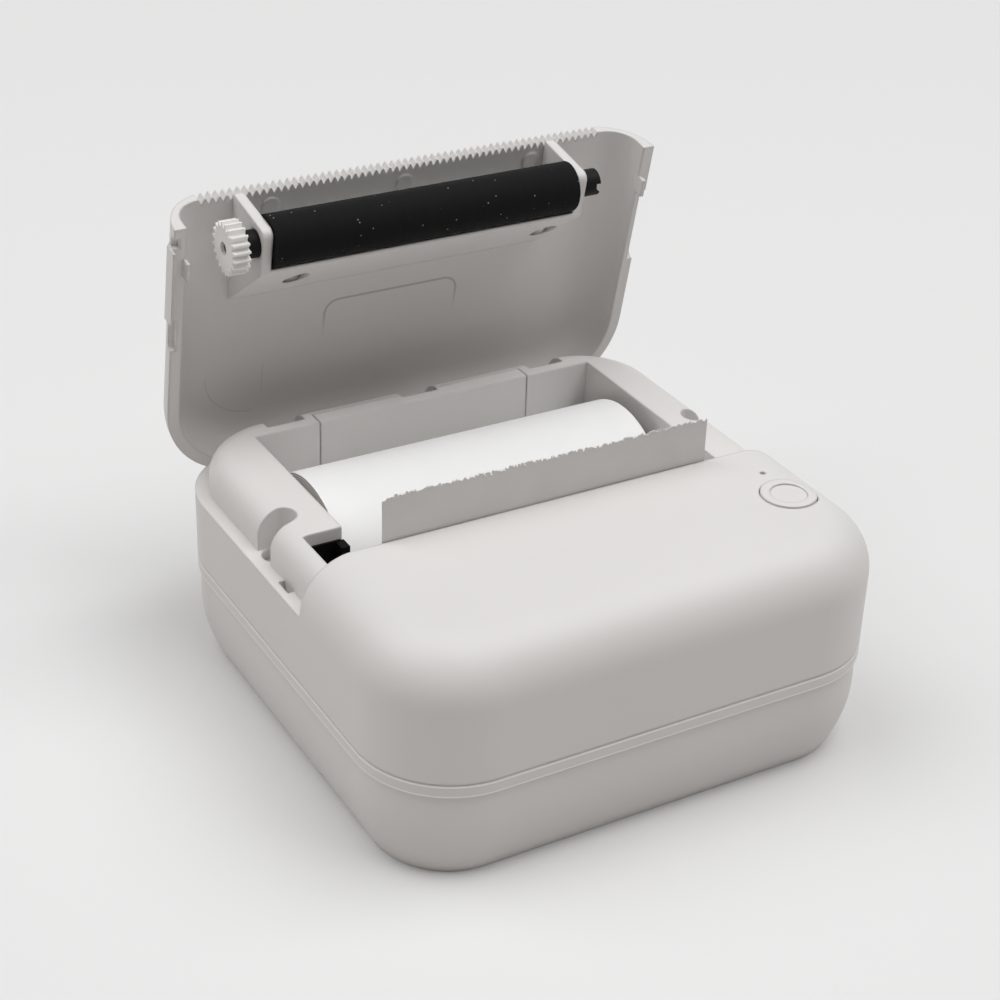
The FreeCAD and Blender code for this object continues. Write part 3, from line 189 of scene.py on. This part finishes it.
def moulded(name, pale, deep, roughness, edge):
    """Moulded plastic: grain of the mould, slow drift of tone, and edges as round as moulds leave them."""
    made, tree, shader, place = finish(name, roughness)
    grain = add(tree, "ShaderNodeTexNoise", {"Scale": 1 / 0.00025, "Detail": 2.0}, [("Vector", place)])
    drift = add(tree, "ShaderNodeTexNoise", {"Scale": 1 / 0.03, "Detail": 3.0}, [("Vector", place)])
    tone = tinted(tree, shader, deep, pale, drift.outputs["Fac"])
    soft = add(tree, "ShaderNodeBevel", {"samples": 6, "Radius": edge})
    relieved(tree, shader, grain.outputs["Fac"], 0.08, 0.00002, soft.outputs[0])
    sheen = add(tree, "ShaderNodeMapRange", {"To Min": roughness - 0.06, "To Max": roughness + 0.06},
                [("Value", grain.outputs["Fac"])])
    tree.links.new(sheen.outputs[0], shader.inputs["Roughness"])
    return made, tree, shader, place, tone


ABS_PALE, ABS_DEEP, ABS_ROUGH = "#E5E3E1", "#DFDDDB", 0.48
tray_abs, tree, shader, place, tone = moulded("moulded_tray_abs", ABS_PALE, ABS_DEEP, ABS_ROUGH, 0.00008)
# The band's two edges catch the light as thin lines, which are drawn here in a lighter tone
EDGE_LEVELS, EDGE_HALF = (0.0174, 0.01576), 0.00013
rise = add(tree, "ShaderNodeSeparateXYZ", {}, [("Vector", place)])
edges = [add(tree, "ShaderNodeMath", {"operation": "COMPARE", 1: height, 2: EDGE_HALF},
             [(0, rise.outputs["Z"])]) for height in EDGE_LEVELS]
either = add(tree, "ShaderNodeMath", {"operation": "MAXIMUM"},
             [(0, edges[0].outputs[0]), (1, edges[1].outputs[0])])
edged = add(tree, "ShaderNodeMix", {"data_type": "RGBA", 7: linear("#FAF9F8")},
            [(0, either.outputs[0]), (6, tone.outputs[2])])
tree.links.new(edged.outputs[2], shader.inputs["Base Color"])
dressed("lower_shell", tray_abs)


# Boards, cell and charging socket. Glass-epoxy boards under green solder mask, a lithium cell in
# a pouch of silver laminate, and a socket shell drawn from nickel-plated steel.
board_mask, tree, shader, place = finish("green_solder_mask", 0.35)
# Copper tracks 0.5 mm wide stand a little proud under the mask, on a grid of 2.5 mm
tracks = add(tree, "ShaderNodeTexBrick",
             {"Scale": 1 / 0.0025, "Mortar Size": 0.1, "Color1": linear("#1F5A37"),
              "Color2": linear("#1C5132"), "Mortar": linear("#2E7A4C")}, [("Vector", place)])
tree.links.new(tracks.outputs["Color"], shader.inputs["Base Color"])
relieved(tree, shader, tracks.outputs["Fac"], 0.3, 0.00004)
for node in ("circuit_board", "usb_board", "button_board"):
    dressed(node, board_mask)

pouch_foil, tree, shader, place = finish("aluminium_laminate_pouch", 0.38, metallic=0.7)
# The laminate creases softly every few millimetres where it is folded over the cell
creases = add(tree, "ShaderNodeTexNoise", {"Scale": 1 / 0.004, "Detail": 3.0, "Distortion": 1.5},
              [("Vector", place)])
tinted(tree, shader, "#A9ACB0", "#C3C6C9", creases.outputs["Fac"])
relieved(tree, shader, creases.outputs["Fac"], 0.4, 0.0002)
dressed("battery", pouch_foil)


def metal(name, pale, deep, roughness, line, stretch):
    """Drawn or rolled metal: fine lines of the given pitch, stretched along the direction of working."""
    made, tree, shader, place = finish(name, roughness, metallic=1.0)
    turned = add(tree, "ShaderNodeMapping", {"Scale": stretch}, [("Vector", place)])
    lines = add(tree, "ShaderNodeTexNoise", {"Scale": 1 / line, "Detail": 2.0},
                [("Vector", turned.outputs[0])])
    tinted(tree, shader, deep, pale, lines.outputs["Fac"])
    worn = add(tree, "ShaderNodeMapRange", {"To Min": roughness - 0.08, "To Max": roughness + 0.08},
               [("Value", lines.outputs["Fac"])])
    tree.links.new(worn.outputs[0], shader.inputs["Roughness"])
    return made


# Lines of 0.2 mm are coarser than the real drawing marks, so that they show
drawn_steel = metal("drawn_nickel_plated_steel", "#C4C4C2", "#ACACAA", 0.3, 0.0002, (0.1, 1, 1))
dressed("usb_socket", drawn_steel)


# Printing mechanism. A black acetal chassis carries a ceramic head on an aluminium sink, pressed
# by two spring-steel leaves, and a small can motor that drives the platen through acetal gears.
black_acetal, tree, shader, place, tone = moulded("moulded_black_acetal", "#101010", "#090909", 0.5, 0.00015)
shader.inputs["Specular IOR Level"].default_value = 0.12
dressed("mech_chassis", black_acetal)
dressed("button_switch", black_acetal)
dressed("idler_gear", black_acetal)
white_acetal = moulded("moulded_white_acetal", "#F8F7F5", "#F2F1EE", 0.4, 0.0001)[0]
dressed("motor_pinion", white_acetal)
can_steel = metal("rolled_zinc_plated_can", "#B4B5B6", "#9C9D9E", 0.34, 0.0003, (0.08, 1, 1))
dressed("feed_motor", can_steel)
for node in ("motor_shaft", "idler_post"):
    dressed(node, drawn_steel)
spring_steel = metal("blued_spring_steel", "#7C7F86", "#5F6269", 0.32, 0.0002, (1, 0.1, 0.1))
dressed("head_springs", spring_steel)
sink_plate = metal("pressed_aluminium_plate", "#BFC0C1", "#A9AAAB", 0.42, 0.00025, (0.06, 1, 1))
dressed("head_sink", sink_plate)

head_glaze, tree, shader, place = finish("glazed_alumina_strip", 0.12, ior=1.65)
# A brown glaze line with the heater row runs along the top of the pale ceramic strip
along = add(tree, "ShaderNodeSeparateXYZ", {}, [("Vector", place)])
GLAZE_HEIGHT, GLAZE_EDGE = 0.0022, 0.0002
glaze_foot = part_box("print_head")[1].z - GLAZE_HEIGHT
row = add(tree, "ShaderNodeMapRange", {"From Min": glaze_foot - GLAZE_EDGE, "From Max": glaze_foot},
          [("Value", along.outputs["Z"])])
tinted(tree, shader, "#CFCBC0", "#4A3A2C", row.outputs[0])
dressed("print_head", head_glaze)


# Upper shell, bay surround, hinge cover and paper cradle. Off-white ABS mouldings of the same
# batch; the hinge cover is a separate strip that clips into the surround over the hinge pin.
shell_abs = moulded("moulded_off_white_abs", ABS_PALE, ABS_DEEP, ABS_ROUGH, 0.0006)[0]
for node in ("upper_shell", "hinge_cover", "paper_bin"):
    dressed(node, shell_abs)
dressed("hinge_pin", drawn_steel)


# Case screws. Four pan-head tapping screws with a cross recess, cold headed from steel wire and
# zinc plated: two stand up beside the bay and two come in from below at the front corners.
def crossed_screws(name, places, aim, head_radius, head_height, shank_radius, shank_length, material):
    """Screws at the given places of their heads' outer faces, with the heads facing along aim."""
    tree = bpy.data.node_groups.new(name, "GeometryNodeTree")
    tree.interface.new_socket("Points", in_out="INPUT", socket_type="NodeSocketGeometry")
    for label in ("Head Radius", "Head Height", "Shank Radius", "Shank Length"):
        tree.interface.new_socket(label, in_out="INPUT", socket_type="NodeSocketFloat")
    tree.interface.new_socket("Aim", in_out="INPUT", socket_type="NodeSocketVector")
    tree.interface.new_socket("Screws", in_out="OUTPUT", socket_type="NodeSocketGeometry")
    given = add(tree, "NodeGroupInput", {}).outputs

    def scaled(socket, factor):
        return add(tree, "ShaderNodeMath", {"operation": "MULTIPLY", 1: factor}, [(0, socket)]).outputs[0]

    def moved(mesh, drop, scale=None):
        lift = add(tree, "ShaderNodeCombineXYZ", {}, [("Z", drop)])
        links = [("Geometry", mesh), ("Translation", lift.outputs[0])]
        if scale:
            links.append(("Scale", scale))
        return add(tree, "GeometryNodeTransform", {}, links).outputs[0]

    # The head is a disc cut to the shape of a flattened ball, and the recess is two crossed bars
    disc = add(tree, "GeometryNodeMeshCylinder", {"Vertices": 40},
               [("Radius", given["Head Radius"]), ("Depth", given["Head Height"])])
    ball = add(tree, "GeometryNodeMeshUVSphere", {"Segments": 40, "Rings": 20},
               [("Radius", given["Head Radius"])])
    flat = add(tree, "ShaderNodeMath", {"operation": "DIVIDE"},
               [(0, given["Head Height"]), (1, given["Head Radius"])])
    squeeze = add(tree, "ShaderNodeCombineXYZ", {"X": 1.04, "Y": 1.04}, [("Z", flat.outputs[0])])
    pan = add(tree, "GeometryNodeMeshBoolean", {"operation": "INTERSECT"},
              [(1, moved(disc.outputs["Mesh"], scaled(given["Head Height"], -0.5))),
               (1, moved(ball.outputs["Mesh"], scaled(given["Head Height"], -1.0), squeeze.outputs[0]))])
    wide, thin = (scaled(given["Head Radius"], share) for share in (1.15, 0.24))
    bars = []
    for across, along in ((wide, thin), (thin, wide)):
        sides = add(tree, "ShaderNodeCombineXYZ", {},
                    [("X", across), ("Y", along), ("Z", given["Head Height"])])
        bars.append(add(tree, "GeometryNodeMeshCube", {}, [("Size", sides.outputs[0])]))
    recess = add(tree, "GeometryNodeJoinGeometry", {}, [(0, bar.outputs["Mesh"]) for bar in bars])
    head = add(tree, "GeometryNodeMeshBoolean", {"operation": "DIFFERENCE"},
               [(0, pan.outputs[0]), (1, recess.outputs[0])])
    shank = add(tree, "GeometryNodeMeshCylinder", {"Vertices": 24},
                [("Radius", given["Shank Radius"]), ("Depth", given["Shank Length"])])
    half = scaled(given["Shank Length"], -0.5)
    below = add(tree, "ShaderNodeMath", {"operation": "SUBTRACT"}, [(0, half), (1, given["Head Height"])])
    screw = add(tree, "GeometryNodeJoinGeometry", {},
                [(0, head.outputs[0]), (0, moved(shank.outputs["Mesh"], below.outputs[0]))])
    turned = add(tree, "FunctionNodeAlignRotationToVector", {"axis": "Z"}, [("Vector", given["Aim"])])
    each = add(tree, "GeometryNodeInstanceOnPoints", {},
               [("Points", given["Points"]), ("Instance", screw.outputs[0]),
                ("Rotation", turned.outputs[0])])
    real = add(tree, "GeometryNodeRealizeInstances", {}, [("Geometry", each.outputs[0])])
    painted = add(tree, "GeometryNodeSetMaterial", {"Material": material}, [("Geometry", real.outputs[0])])
    add(tree, "NodeGroupOutput", {}, [("Screws", painted.outputs[0])])

    points = bpy.data.meshes.new(name + "_points")
    points.from_pydata([tuple(place) for place in places], [], [])
    carrier = bpy.data.objects.new(name + "_points", points)
    scene.collection.objects.link(carrier)
    modifier = carrier.modifiers.new("screws", "NODES")
    modifier.node_group = tree
    values = {"Head Radius": head_radius, "Head Height": head_height, "Shank Radius": shank_radius,
              "Shank Length": shank_length, "Aim": tuple(aim)}
    for item in tree.interface.items_tree:
        if item.name in values:
            modifier[item.identifier] = values[item.name]
    made = bpy.data.meshes.new_from_object(carrier.evaluated_get(bpy.context.evaluated_depsgraph_get()))
    bpy.data.objects.remove(carrier)
    piece = bpy.data.objects.new(name, made)
    scene.collection.objects.link(piece)
    return piece


zinc_steel = metal("zinc_plated_steel", "#C9C9C6", "#B2B2AF", 0.36, 0.0002, (1, 1, 0.2))
screws_low, screws_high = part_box("case_screws")
HEAD, HEAD_TALL, SHANK = 0.00195, 0.0012, 0.001
SIDE_SHANK, FRONT_SHANK, FRONT_X = 0.0197, 0.02645, 0.033
side_screws = crossed_screws(
    "side_screws",
    [(side * (screws_high.x - HEAD), screws_high.y - HEAD, screws_high.z) for side in (-1, 1)],
    (0, 0, 1), HEAD, HEAD_TALL, SHANK, SIDE_SHANK, zinc_steel)
front_screws = crossed_screws(
    "front_screws", [(side * FRONT_X, screws_low.y + HEAD, screws_low.z) for side in (-1, 1)],
    (0, 0, -1), HEAD, HEAD_TALL, SHANK, FRONT_SHANK, zinc_steel)
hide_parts("case_screws")
for piece in (side_screws, front_screws):
    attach(piece, "case")


# Power button, its switch and the indicator. The button is the same ABS with a dished top; the
# indicator is a clear light pipe that ends below a pinhole, so it looks dark when it is off.
dressed("power_button", shell_abs)
pipe_painted_shade, tree, shader, place = finish("clear_acrylic_painted_shade", 0.2, ior=1.49)
haze = add(tree, "ShaderNodeTexNoise", {"Scale": 1 / 0.0004, "Detail": 2.0}, [("Vector", place)])
# The pipe's dark tone is painted shade, the dark below the pinhole, not a tint of the acrylic
tinted(tree, shader, "#2C2C2B", "#3A3A39", haze.outputs["Fac"])
dressed("indicator_lens", pipe_painted_shade)


# Paper roll. Thermal paper wound on a plastic core: smooth and coated on its face, and on its
# ends the edges of the turns show as fine rings. Turns of 0.4 mm are drawn so that they show.
roll_low, roll_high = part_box("paper_roll")
axle = (roll_low + roll_high) / 2
wound_paper, tree, shader, place = finish("wound_thermal_paper", 0.55)
centred = add(tree, "ShaderNodeMapping", {"Location": (0, -axle.y, -axle.z)}, [("Vector", place)])
turns = add(tree, "ShaderNodeTexWave",
            {"wave_type": "RINGS", "rings_direction": "X", "Scale": 0.1 / 0.0004 * math.pi,
             "Distortion": 0.6, "Detail": 1.0}, [("Vector", centred.outputs[0])])
facing = add(tree, "ShaderNodeNewGeometry", {})
sideways = add(tree, "ShaderNodeSeparateXYZ", {}, [("Vector", facing.outputs["Normal"])])
ends = add(tree, "ShaderNodeMath", {"operation": "ABSOLUTE"}, [(0, sideways.outputs["X"])])
end_mask = add(tree, "ShaderNodeMapRange", {"From Min": 0.5, "From Max": 0.8}, [("Value", ends.outputs[0])])
rings = add(tree, "ShaderNodeMix", {"data_type": "RGBA", 6: linear("#A9A6A2"), 7: linear("#E6E3DF")},
            [(0, turns.outputs["Fac"])])
mottle = add(tree, "ShaderNodeTexNoise", {"Scale": 1 / 0.006, "Detail": 4.0}, [("Vector", place)])
coat = add(tree, "ShaderNodeMix", {"data_type": "RGBA", 6: linear("#F3F3F3"), 7: linear("#F9F9F9")},
           [(0, mottle.outputs["Fac"])])
tone = add(tree, "ShaderNodeMix", {"data_type": "RGBA"},
           [(0, end_mask.outputs[0]), (6, coat.outputs[2]), (7, rings.outputs[2])])
tree.links.new(tone.outputs[2], shader.inputs["Base Color"])
relief = add(tree, "ShaderNodeBump", {"Strength": 0.35, "Distance": 0.0001},
             [("Height", turns.outputs["Fac"])])
bent = add(tree, "ShaderNodeMix", {"data_type": "VECTOR"},
           [(0, end_mask.outputs[0]), (4, facing.outputs["Normal"]), (5, relief.outputs[0])])
tree.links.new(bent.outputs[1], shader.inputs["Normal"])
dressed("paper_roll", wound_paper)
core_grey = moulded("extruded_grey_polystyrene", "#8E8E8F", "#7F7F80", 0.5, 0.0001)[0]
dressed("roll_core", core_grey)


# Paper web. The free end of the roll comes up a ramp to the mouth and stands out of it, painted greyer than
# the roll as painted shade on the standing strip; its top edge is torn, with a fringe of white fibres.
shaded_web_paper, tree, shader, place = finish("thermal_paper_sheet_painted_shade", 0.55)
mottle = add(tree, "ShaderNodeTexNoise", {"Scale": 1 / 0.008, "Detail": 4.0}, [("Vector", place)])
# Both tones sit below the roll's paper white: painted shade on the standing strip
tinted(tree, shader, "#CDCAC8", "#D9D7D5", mottle.outputs["Fac"])
fibres = add(tree, "ShaderNodeTexNoise", {"Scale": 1 / 0.0005, "Detail": 3.0}, [("Vector", place)])
relief = relieved(tree, shader, fibres.outputs["Fac"], 0.06, 0.00003)
# The free end cockles in slow waves along its width
level_waves = add(tree, "ShaderNodeMapping", {"Scale": (0.35, 1, 1)}, [("Vector", place)])
cockle = add(tree, "ShaderNodeTexNoise", {"Scale": 1 / 0.006, "Detail": 1.0},
             [("Vector", level_waves.outputs[0])])
relieved(tree, shader, cockle.outputs["Fac"], 0.5, 0.0008, relief)
dressed("paper_web", shaded_web_paper)

web_low, web_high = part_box("paper_web")
SHEET, TEAR_STEP, TEAR_HEIGHT, CORNER_LOSS = 0.00015, 0.0001, 0.0005, 0.0009
# The torn strip laps over the top of the solid sheet and stands a hair proud of it
LAP, PROUD = 0.0012, 0.000004
tear = random.Random(7)
columns = int((web_high.x - web_low.x) / TEAR_STEP)
torn = bmesh.new()
rows = []
sway, tuft, left = 0.0, 0.0, 0
for column in range(columns + 1):
    x = web_low.x + (web_high.x - web_low.x) * column / columns
    sway = sway * 0.98 + tear.uniform(-0.00002, 0.00002)
    # The fibres part in tufts 0.1 to 0.6 mm wide, each torn at its own height
    if left == 0:
        left, tuft = tear.randint(1, 6), tear.uniform(-0.00025, 0.00025)
    left -= 1
    crest = TEAR_HEIGHT + sway + tuft + tear.uniform(-0.00006, 0.00006)
    crest -= max(0.0, CORNER_LOSS - (x - web_low.x)) * 1.2
    heights = (web_high.z - LAP, web_high.z + crest)
    front = [torn.verts.new((x, web_low.y - PROUD, height)) for height in heights]
    back = [torn.verts.new((x, web_low.y + SHEET + PROUD, height)) for height in reversed(heights)]
    rows.append(front + back)
for first, second in zip(rows, rows[1:]):
    for i in range(4):
        torn.faces.new((first[i], second[i], second[(i + 1) % 4], first[(i + 1) % 4]))
torn.faces.new(rows[0])
torn.faces.new(list(reversed(rows[-1])))
# Wisps of fibre stand out of the tear and lean forward or back over the roll
FIBRE, SUNK, CORNER_COLUMNS = 0.00004, 0.00002, 8
for row in rows[CORNER_COLUMNS:]:
    if tear.random() < 0.5:
        continue
    foot = row[1].co
    reach = tear.uniform(-0.0005, 0.0003)
    climb = tear.uniform(-0.00008, 0.0003)
    wide = tear.uniform(0.00006, 0.0002)
    lean = Vector((tear.uniform(-0.0001, 0.0001), reach, climb))
    base = [torn.verts.new(foot + Vector((dx, dy, -SUNK)))
            for dx, dy in ((-wide, SUNK), (wide, SUNK), (wide, SUNK + FIBRE), (-wide, SUNK + FIBRE))]
    tip = torn.verts.new(foot + lean)
    wisp = [torn.faces.new((base[i], base[(i + 1) % 4], tip)) for i in range(4)]
    for face in wisp + [torn.faces.new(list(reversed(base)))]:
        face.material_index = 1
bmesh.ops.recalc_face_normals(torn, faces=torn.faces)
torn_mesh = bpy.data.meshes.new("torn_edge")
torn.to_mesh(torn_mesh)
torn_mesh.materials.append(shaded_web_paper)
fibre_white, tree, shader, place = finish("bare_paper_fibre", 0.9)
clumps = add(tree, "ShaderNodeTexNoise", {"Scale": 1 / 0.0008, "Detail": 2.0}, [("Vector", place)])
tinted(tree, shader, "#F1F0EE", "#FBFBFA", clumps.outputs["Fac"])
torn_mesh.materials.append(fibre_white)
torn_edge = bpy.data.objects.new("torn_edge", torn_mesh)
scene.collection.objects.link(torn_edge)
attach(torn_edge, "case")


# Cover. One off-white ABS moulding with the tear edge along its front and knuckles at its back;
# inside, fine witness lines of the mould's inserts show on the panel, with polished pin marks.
hinge = Vector(frame["record"]["behaviour"]["joints"][0]["pos_m"])
OPEN_ANGLE = math.radians(-78.5)
opened = Matrix.Translation(hinge) @ Matrix.Rotation(OPEN_ANGLE, 4, "X") @ Matrix.Translation(-hinge)
cover_abs, tree, shader, place, tone = moulded("moulded_cover_abs", ABS_PALE, ABS_DEEP, ABS_ROUGH, 0.0006)
shut_turn = Matrix.Rotation(-OPEN_ANGLE, 3, "X")
shut = add(tree, "ShaderNodeMapping",
           {"Rotation": (-OPEN_ANGLE, 0, 0), "Location": hinge - shut_turn @ hinge}, [("Vector", place)])
spot = add(tree, "ShaderNodeSeparateXYZ", {}, [("Vector", shut.outputs[0])])
INSERT_MIDDLE, INSERT_HALF, INSERT_CORNER = Vector((-0.0004, 0.0284, 0)), Vector((0.0123, 0.012, 0)), 0.0025
moved = add(tree, "ShaderNodeVectorMath", {"operation": "SUBTRACT", 1: INSERT_MIDDLE},
            [(0, shut.outputs[0])])
folded = add(tree, "ShaderNodeVectorMath", {"operation": "ABSOLUTE"}, [(0, moved.outputs[0])])
corner = add(tree, "ShaderNodeVectorMath",
             {"operation": "SUBTRACT", 1: INSERT_HALF - Vector((INSERT_CORNER, INSERT_CORNER, -1))},
             [(0, folded.outputs[0])])
outside = add(tree, "ShaderNodeVectorMath", {"operation": "MAXIMUM"}, [(0, corner.outputs[0])])
away = add(tree, "ShaderNodeVectorMath", {"operation": "LENGTH"}, [(0, outside.outputs[0])])
edge = add(tree, "ShaderNodeMath", {"operation": "SUBTRACT", 1: INSERT_CORNER}, [(0, away.outputs["Value"])])
near = add(tree, "ShaderNodeMath", {"operation": "ABSOLUTE"}, [(0, edge.outputs[0])])


def falling(low, high, source):
    """A mask of the current tree that falls from 1 to 0 between two values."""
    return add(tree, "ShaderNodeMapRange", {"From Min": low, "From Max": high, "To Min": 1.0, "To Max": 0.0},
               [("Value", source)]).outputs[0]


# The insert's line fades out towards the hinge, and no line shows on the cover's outside
LINE_EDGE, LINE_FADE, PANEL_LEVEL = (0.0001, 0.0003), (0.0185, 0.0235), (0.0369, 0.0371)
line = falling(*LINE_EDGE, near.outputs[0])
fade = falling(*LINE_FADE, spot.outputs["Y"])
inner = falling(*PANEL_LEVEL, spot.outputs["Z"])


def masked(*masks):
    """The product of masks given as sockets or as (operation, socket, value, margin)."""
    result = None
    for mask in masks:
        if isinstance(mask, tuple):
            operation, source, value, margin = mask
            settings = {"operation": operation, 1: value, 2: margin}
            mask = add(tree, "ShaderNodeMath", settings, [(0, source)]).outputs[0]
        result = mask if result is None else add(
            tree, "ShaderNodeMath", {"operation": "MULTIPLY"}, [(0, result), (1, mask)]).outputs[0]
    return result


# A short parting line and a quarter arc of the mould's insert show at the panel's back left corner
ARC_MIDDLE, ARC_RADIUS, PARTING = (-0.025, 0.0273, 0), 0.0086, (-0.0233, 0.02965)
plan = add(tree, "ShaderNodeVectorMath", {"operation": "MULTIPLY", 1: (1, 1, 0)}, [(0, shut.outputs[0])])
from_arc = add(tree, "ShaderNodeVectorMath", {"operation": "DISTANCE", 1: ARC_MIDDLE},
               [(0, plan.outputs[0])])
arc = masked(("COMPARE", from_arc.outputs["Value"], ARC_RADIUS, 0.0001),
             ("LESS_THAN", spot.outputs["X"], ARC_MIDDLE[0], 0),
             ("GREATER_THAN", spot.outputs["Y"], ARC_MIDDLE[1], 0))
parting = masked(("COMPARE", spot.outputs["X"], PARTING[0], 0.00008),
                 ("COMPARE", spot.outputs["Y"], PARTING[1], 0.00285))
corner_lines = add(tree, "ShaderNodeMath", {"operation": "MAXIMUM"}, [(0, arc), (1, parting)])
faint_lines = add(tree, "ShaderNodeMath", {"operation": "MULTIPLY", 1: 0.45}, [(0, corner_lines.outputs[0])])
insert_line = masked(line, fade)
all_lines = add(tree, "ShaderNodeMath", {"operation": "MAXIMUM"},
                [(0, faint_lines.outputs[0]), (1, insert_line)])
lined = add(tree, "ShaderNodeMix", {"data_type": "RGBA", 7: linear("#BDBAB7")},
            [(0, masked(all_lines.outputs[0], inner)), (6, tone.outputs[2])])
tree.links.new(lined.outputs[2], shader.inputs["Base Color"])
# Three ejector pins left polished discs in a row behind the tear edge
PIN_PITCH, PIN_SHIFT, PIN_ROW, PIN_RADIUS = 0.023504, 0.0005, 0.00429, 0.0015
pin_spot = add(tree, "ShaderNodeVectorMath", {"operation": "ADD", 1: (PIN_SHIFT, PIN_ROW, 0)},
               [(0, plan.outputs[0])])
pin_cell = add(tree, "ShaderNodeVectorMath",
               {"operation": "WRAP", 1: (PIN_PITCH / 2, 1, 1), 2: (-PIN_PITCH / 2, -1, -1)},
               [(0, pin_spot.outputs[0])])
from_pin = add(tree, "ShaderNodeVectorMath", {"operation": "LENGTH"}, [(0, pin_cell.outputs[0])])
polished = masked(("LESS_THAN", from_pin.outputs["Value"], PIN_RADIUS, 0), inner)
matt = shader.inputs["Roughness"].links[0].from_socket
sheen = add(tree, "ShaderNodeMix", {3: 0.16}, [(0, polished), (2, matt)])
tree.links.new(sheen.outputs[0], shader.inputs["Roughness"])
dressed("top_cover", cover_abs)


# Platen bracket. A white ABS moulding with two ears, fixed under the cover's panel by two
# nickel-plated screws that sit deep in its sloped back.
dressed("platen_bracket", shell_abs)
plated = metal("nickel_plated_screw_steel", "#B9B7B3", "#98968F", 0.28, 0.0002, (1, 1, 0.2))
SCREW_XS, SCREW_Y, SCREW_Z, BRACKET_SHANK = (-0.0215, 0.0239), 0.006, 0.0316, 0.004
bracket_places = [opened @ Vector((x, SCREW_Y, SCREW_Z)) for x in SCREW_XS]
bracket_screws = crossed_screws("bracket_screw_set", bracket_places, opened.to_3x3() @ Vector((0, 0, -1)),
                                HEAD, HEAD_TALL, SHANK, BRACKET_SHANK, plated)
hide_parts("bracket_screws")
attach(bracket_screws, "cover")


# Platen. A steel shaft with a ground silicone-rubber sleeve runs in two black acetal bushes, and
# a white acetal gear is pressed on its left end. Paper dust sits on the rubber as pale specks.
rubber, tree, shader, place = finish("ground_silicone_rubber", 0.8, ior=1.41)
shader.inputs["Specular IOR Level"].default_value = 0.2
around = add(tree, "ShaderNodeMapping", {"Scale": (1, 0.05, 0.05)}, [("Vector", place)])
ground = add(tree, "ShaderNodeTexNoise", {"Scale": 1 / 0.0004, "Detail": 2.0},
             [("Vector", around.outputs[0])])
cells = add(tree, "ShaderNodeTexVoronoi", {"Scale": 1 / 0.0012, "Randomness": 1.0}, [("Vector", place)])
speck = falling(0.06, 0.13, cells.outputs["Distance"])
kept = add(tree, "ShaderNodeSeparateColor", {}, [("Color", cells.outputs["Color"])])
some = add(tree, "ShaderNodeMath", {"operation": "GREATER_THAN", 1: 0.55}, [(0, kept.outputs[0])])
dust = add(tree, "ShaderNodeMath", {"operation": "MULTIPLY"}, [(0, speck), (1, some.outputs[0])])
black = add(tree, "ShaderNodeMix", {"data_type": "RGBA", 6: linear("#070707"), 7: linear("#111111")},
            [(0, ground.outputs["Fac"])])
dusted = add(tree, "ShaderNodeMix", {"data_type": "RGBA", 7: linear("#8C8B88")},
             [(0, dust.outputs[0]), (6, black.outputs[2])])
tree.links.new(dusted.outputs[2], shader.inputs["Base Color"])
relieved(tree, shader, ground.outputs["Fac"], 0.12, 0.00003)
dressed("platen_rubber", rubber)
dressed("platen_bushes", black_acetal)
dressed("platen_gear", white_acetal)
dark_steel = metal("blackened_steel_shaft", "#4A4A4E", "#333336", 0.38, 0.0002, (0.1, 1, 1))
dressed("platen_shaft", dark_steel)
# The plain CAD screws carry the same steels
for node, steel in (("case_screws", zinc_steel), ("bracket_screws", plated)):
    dressed(node, steel)
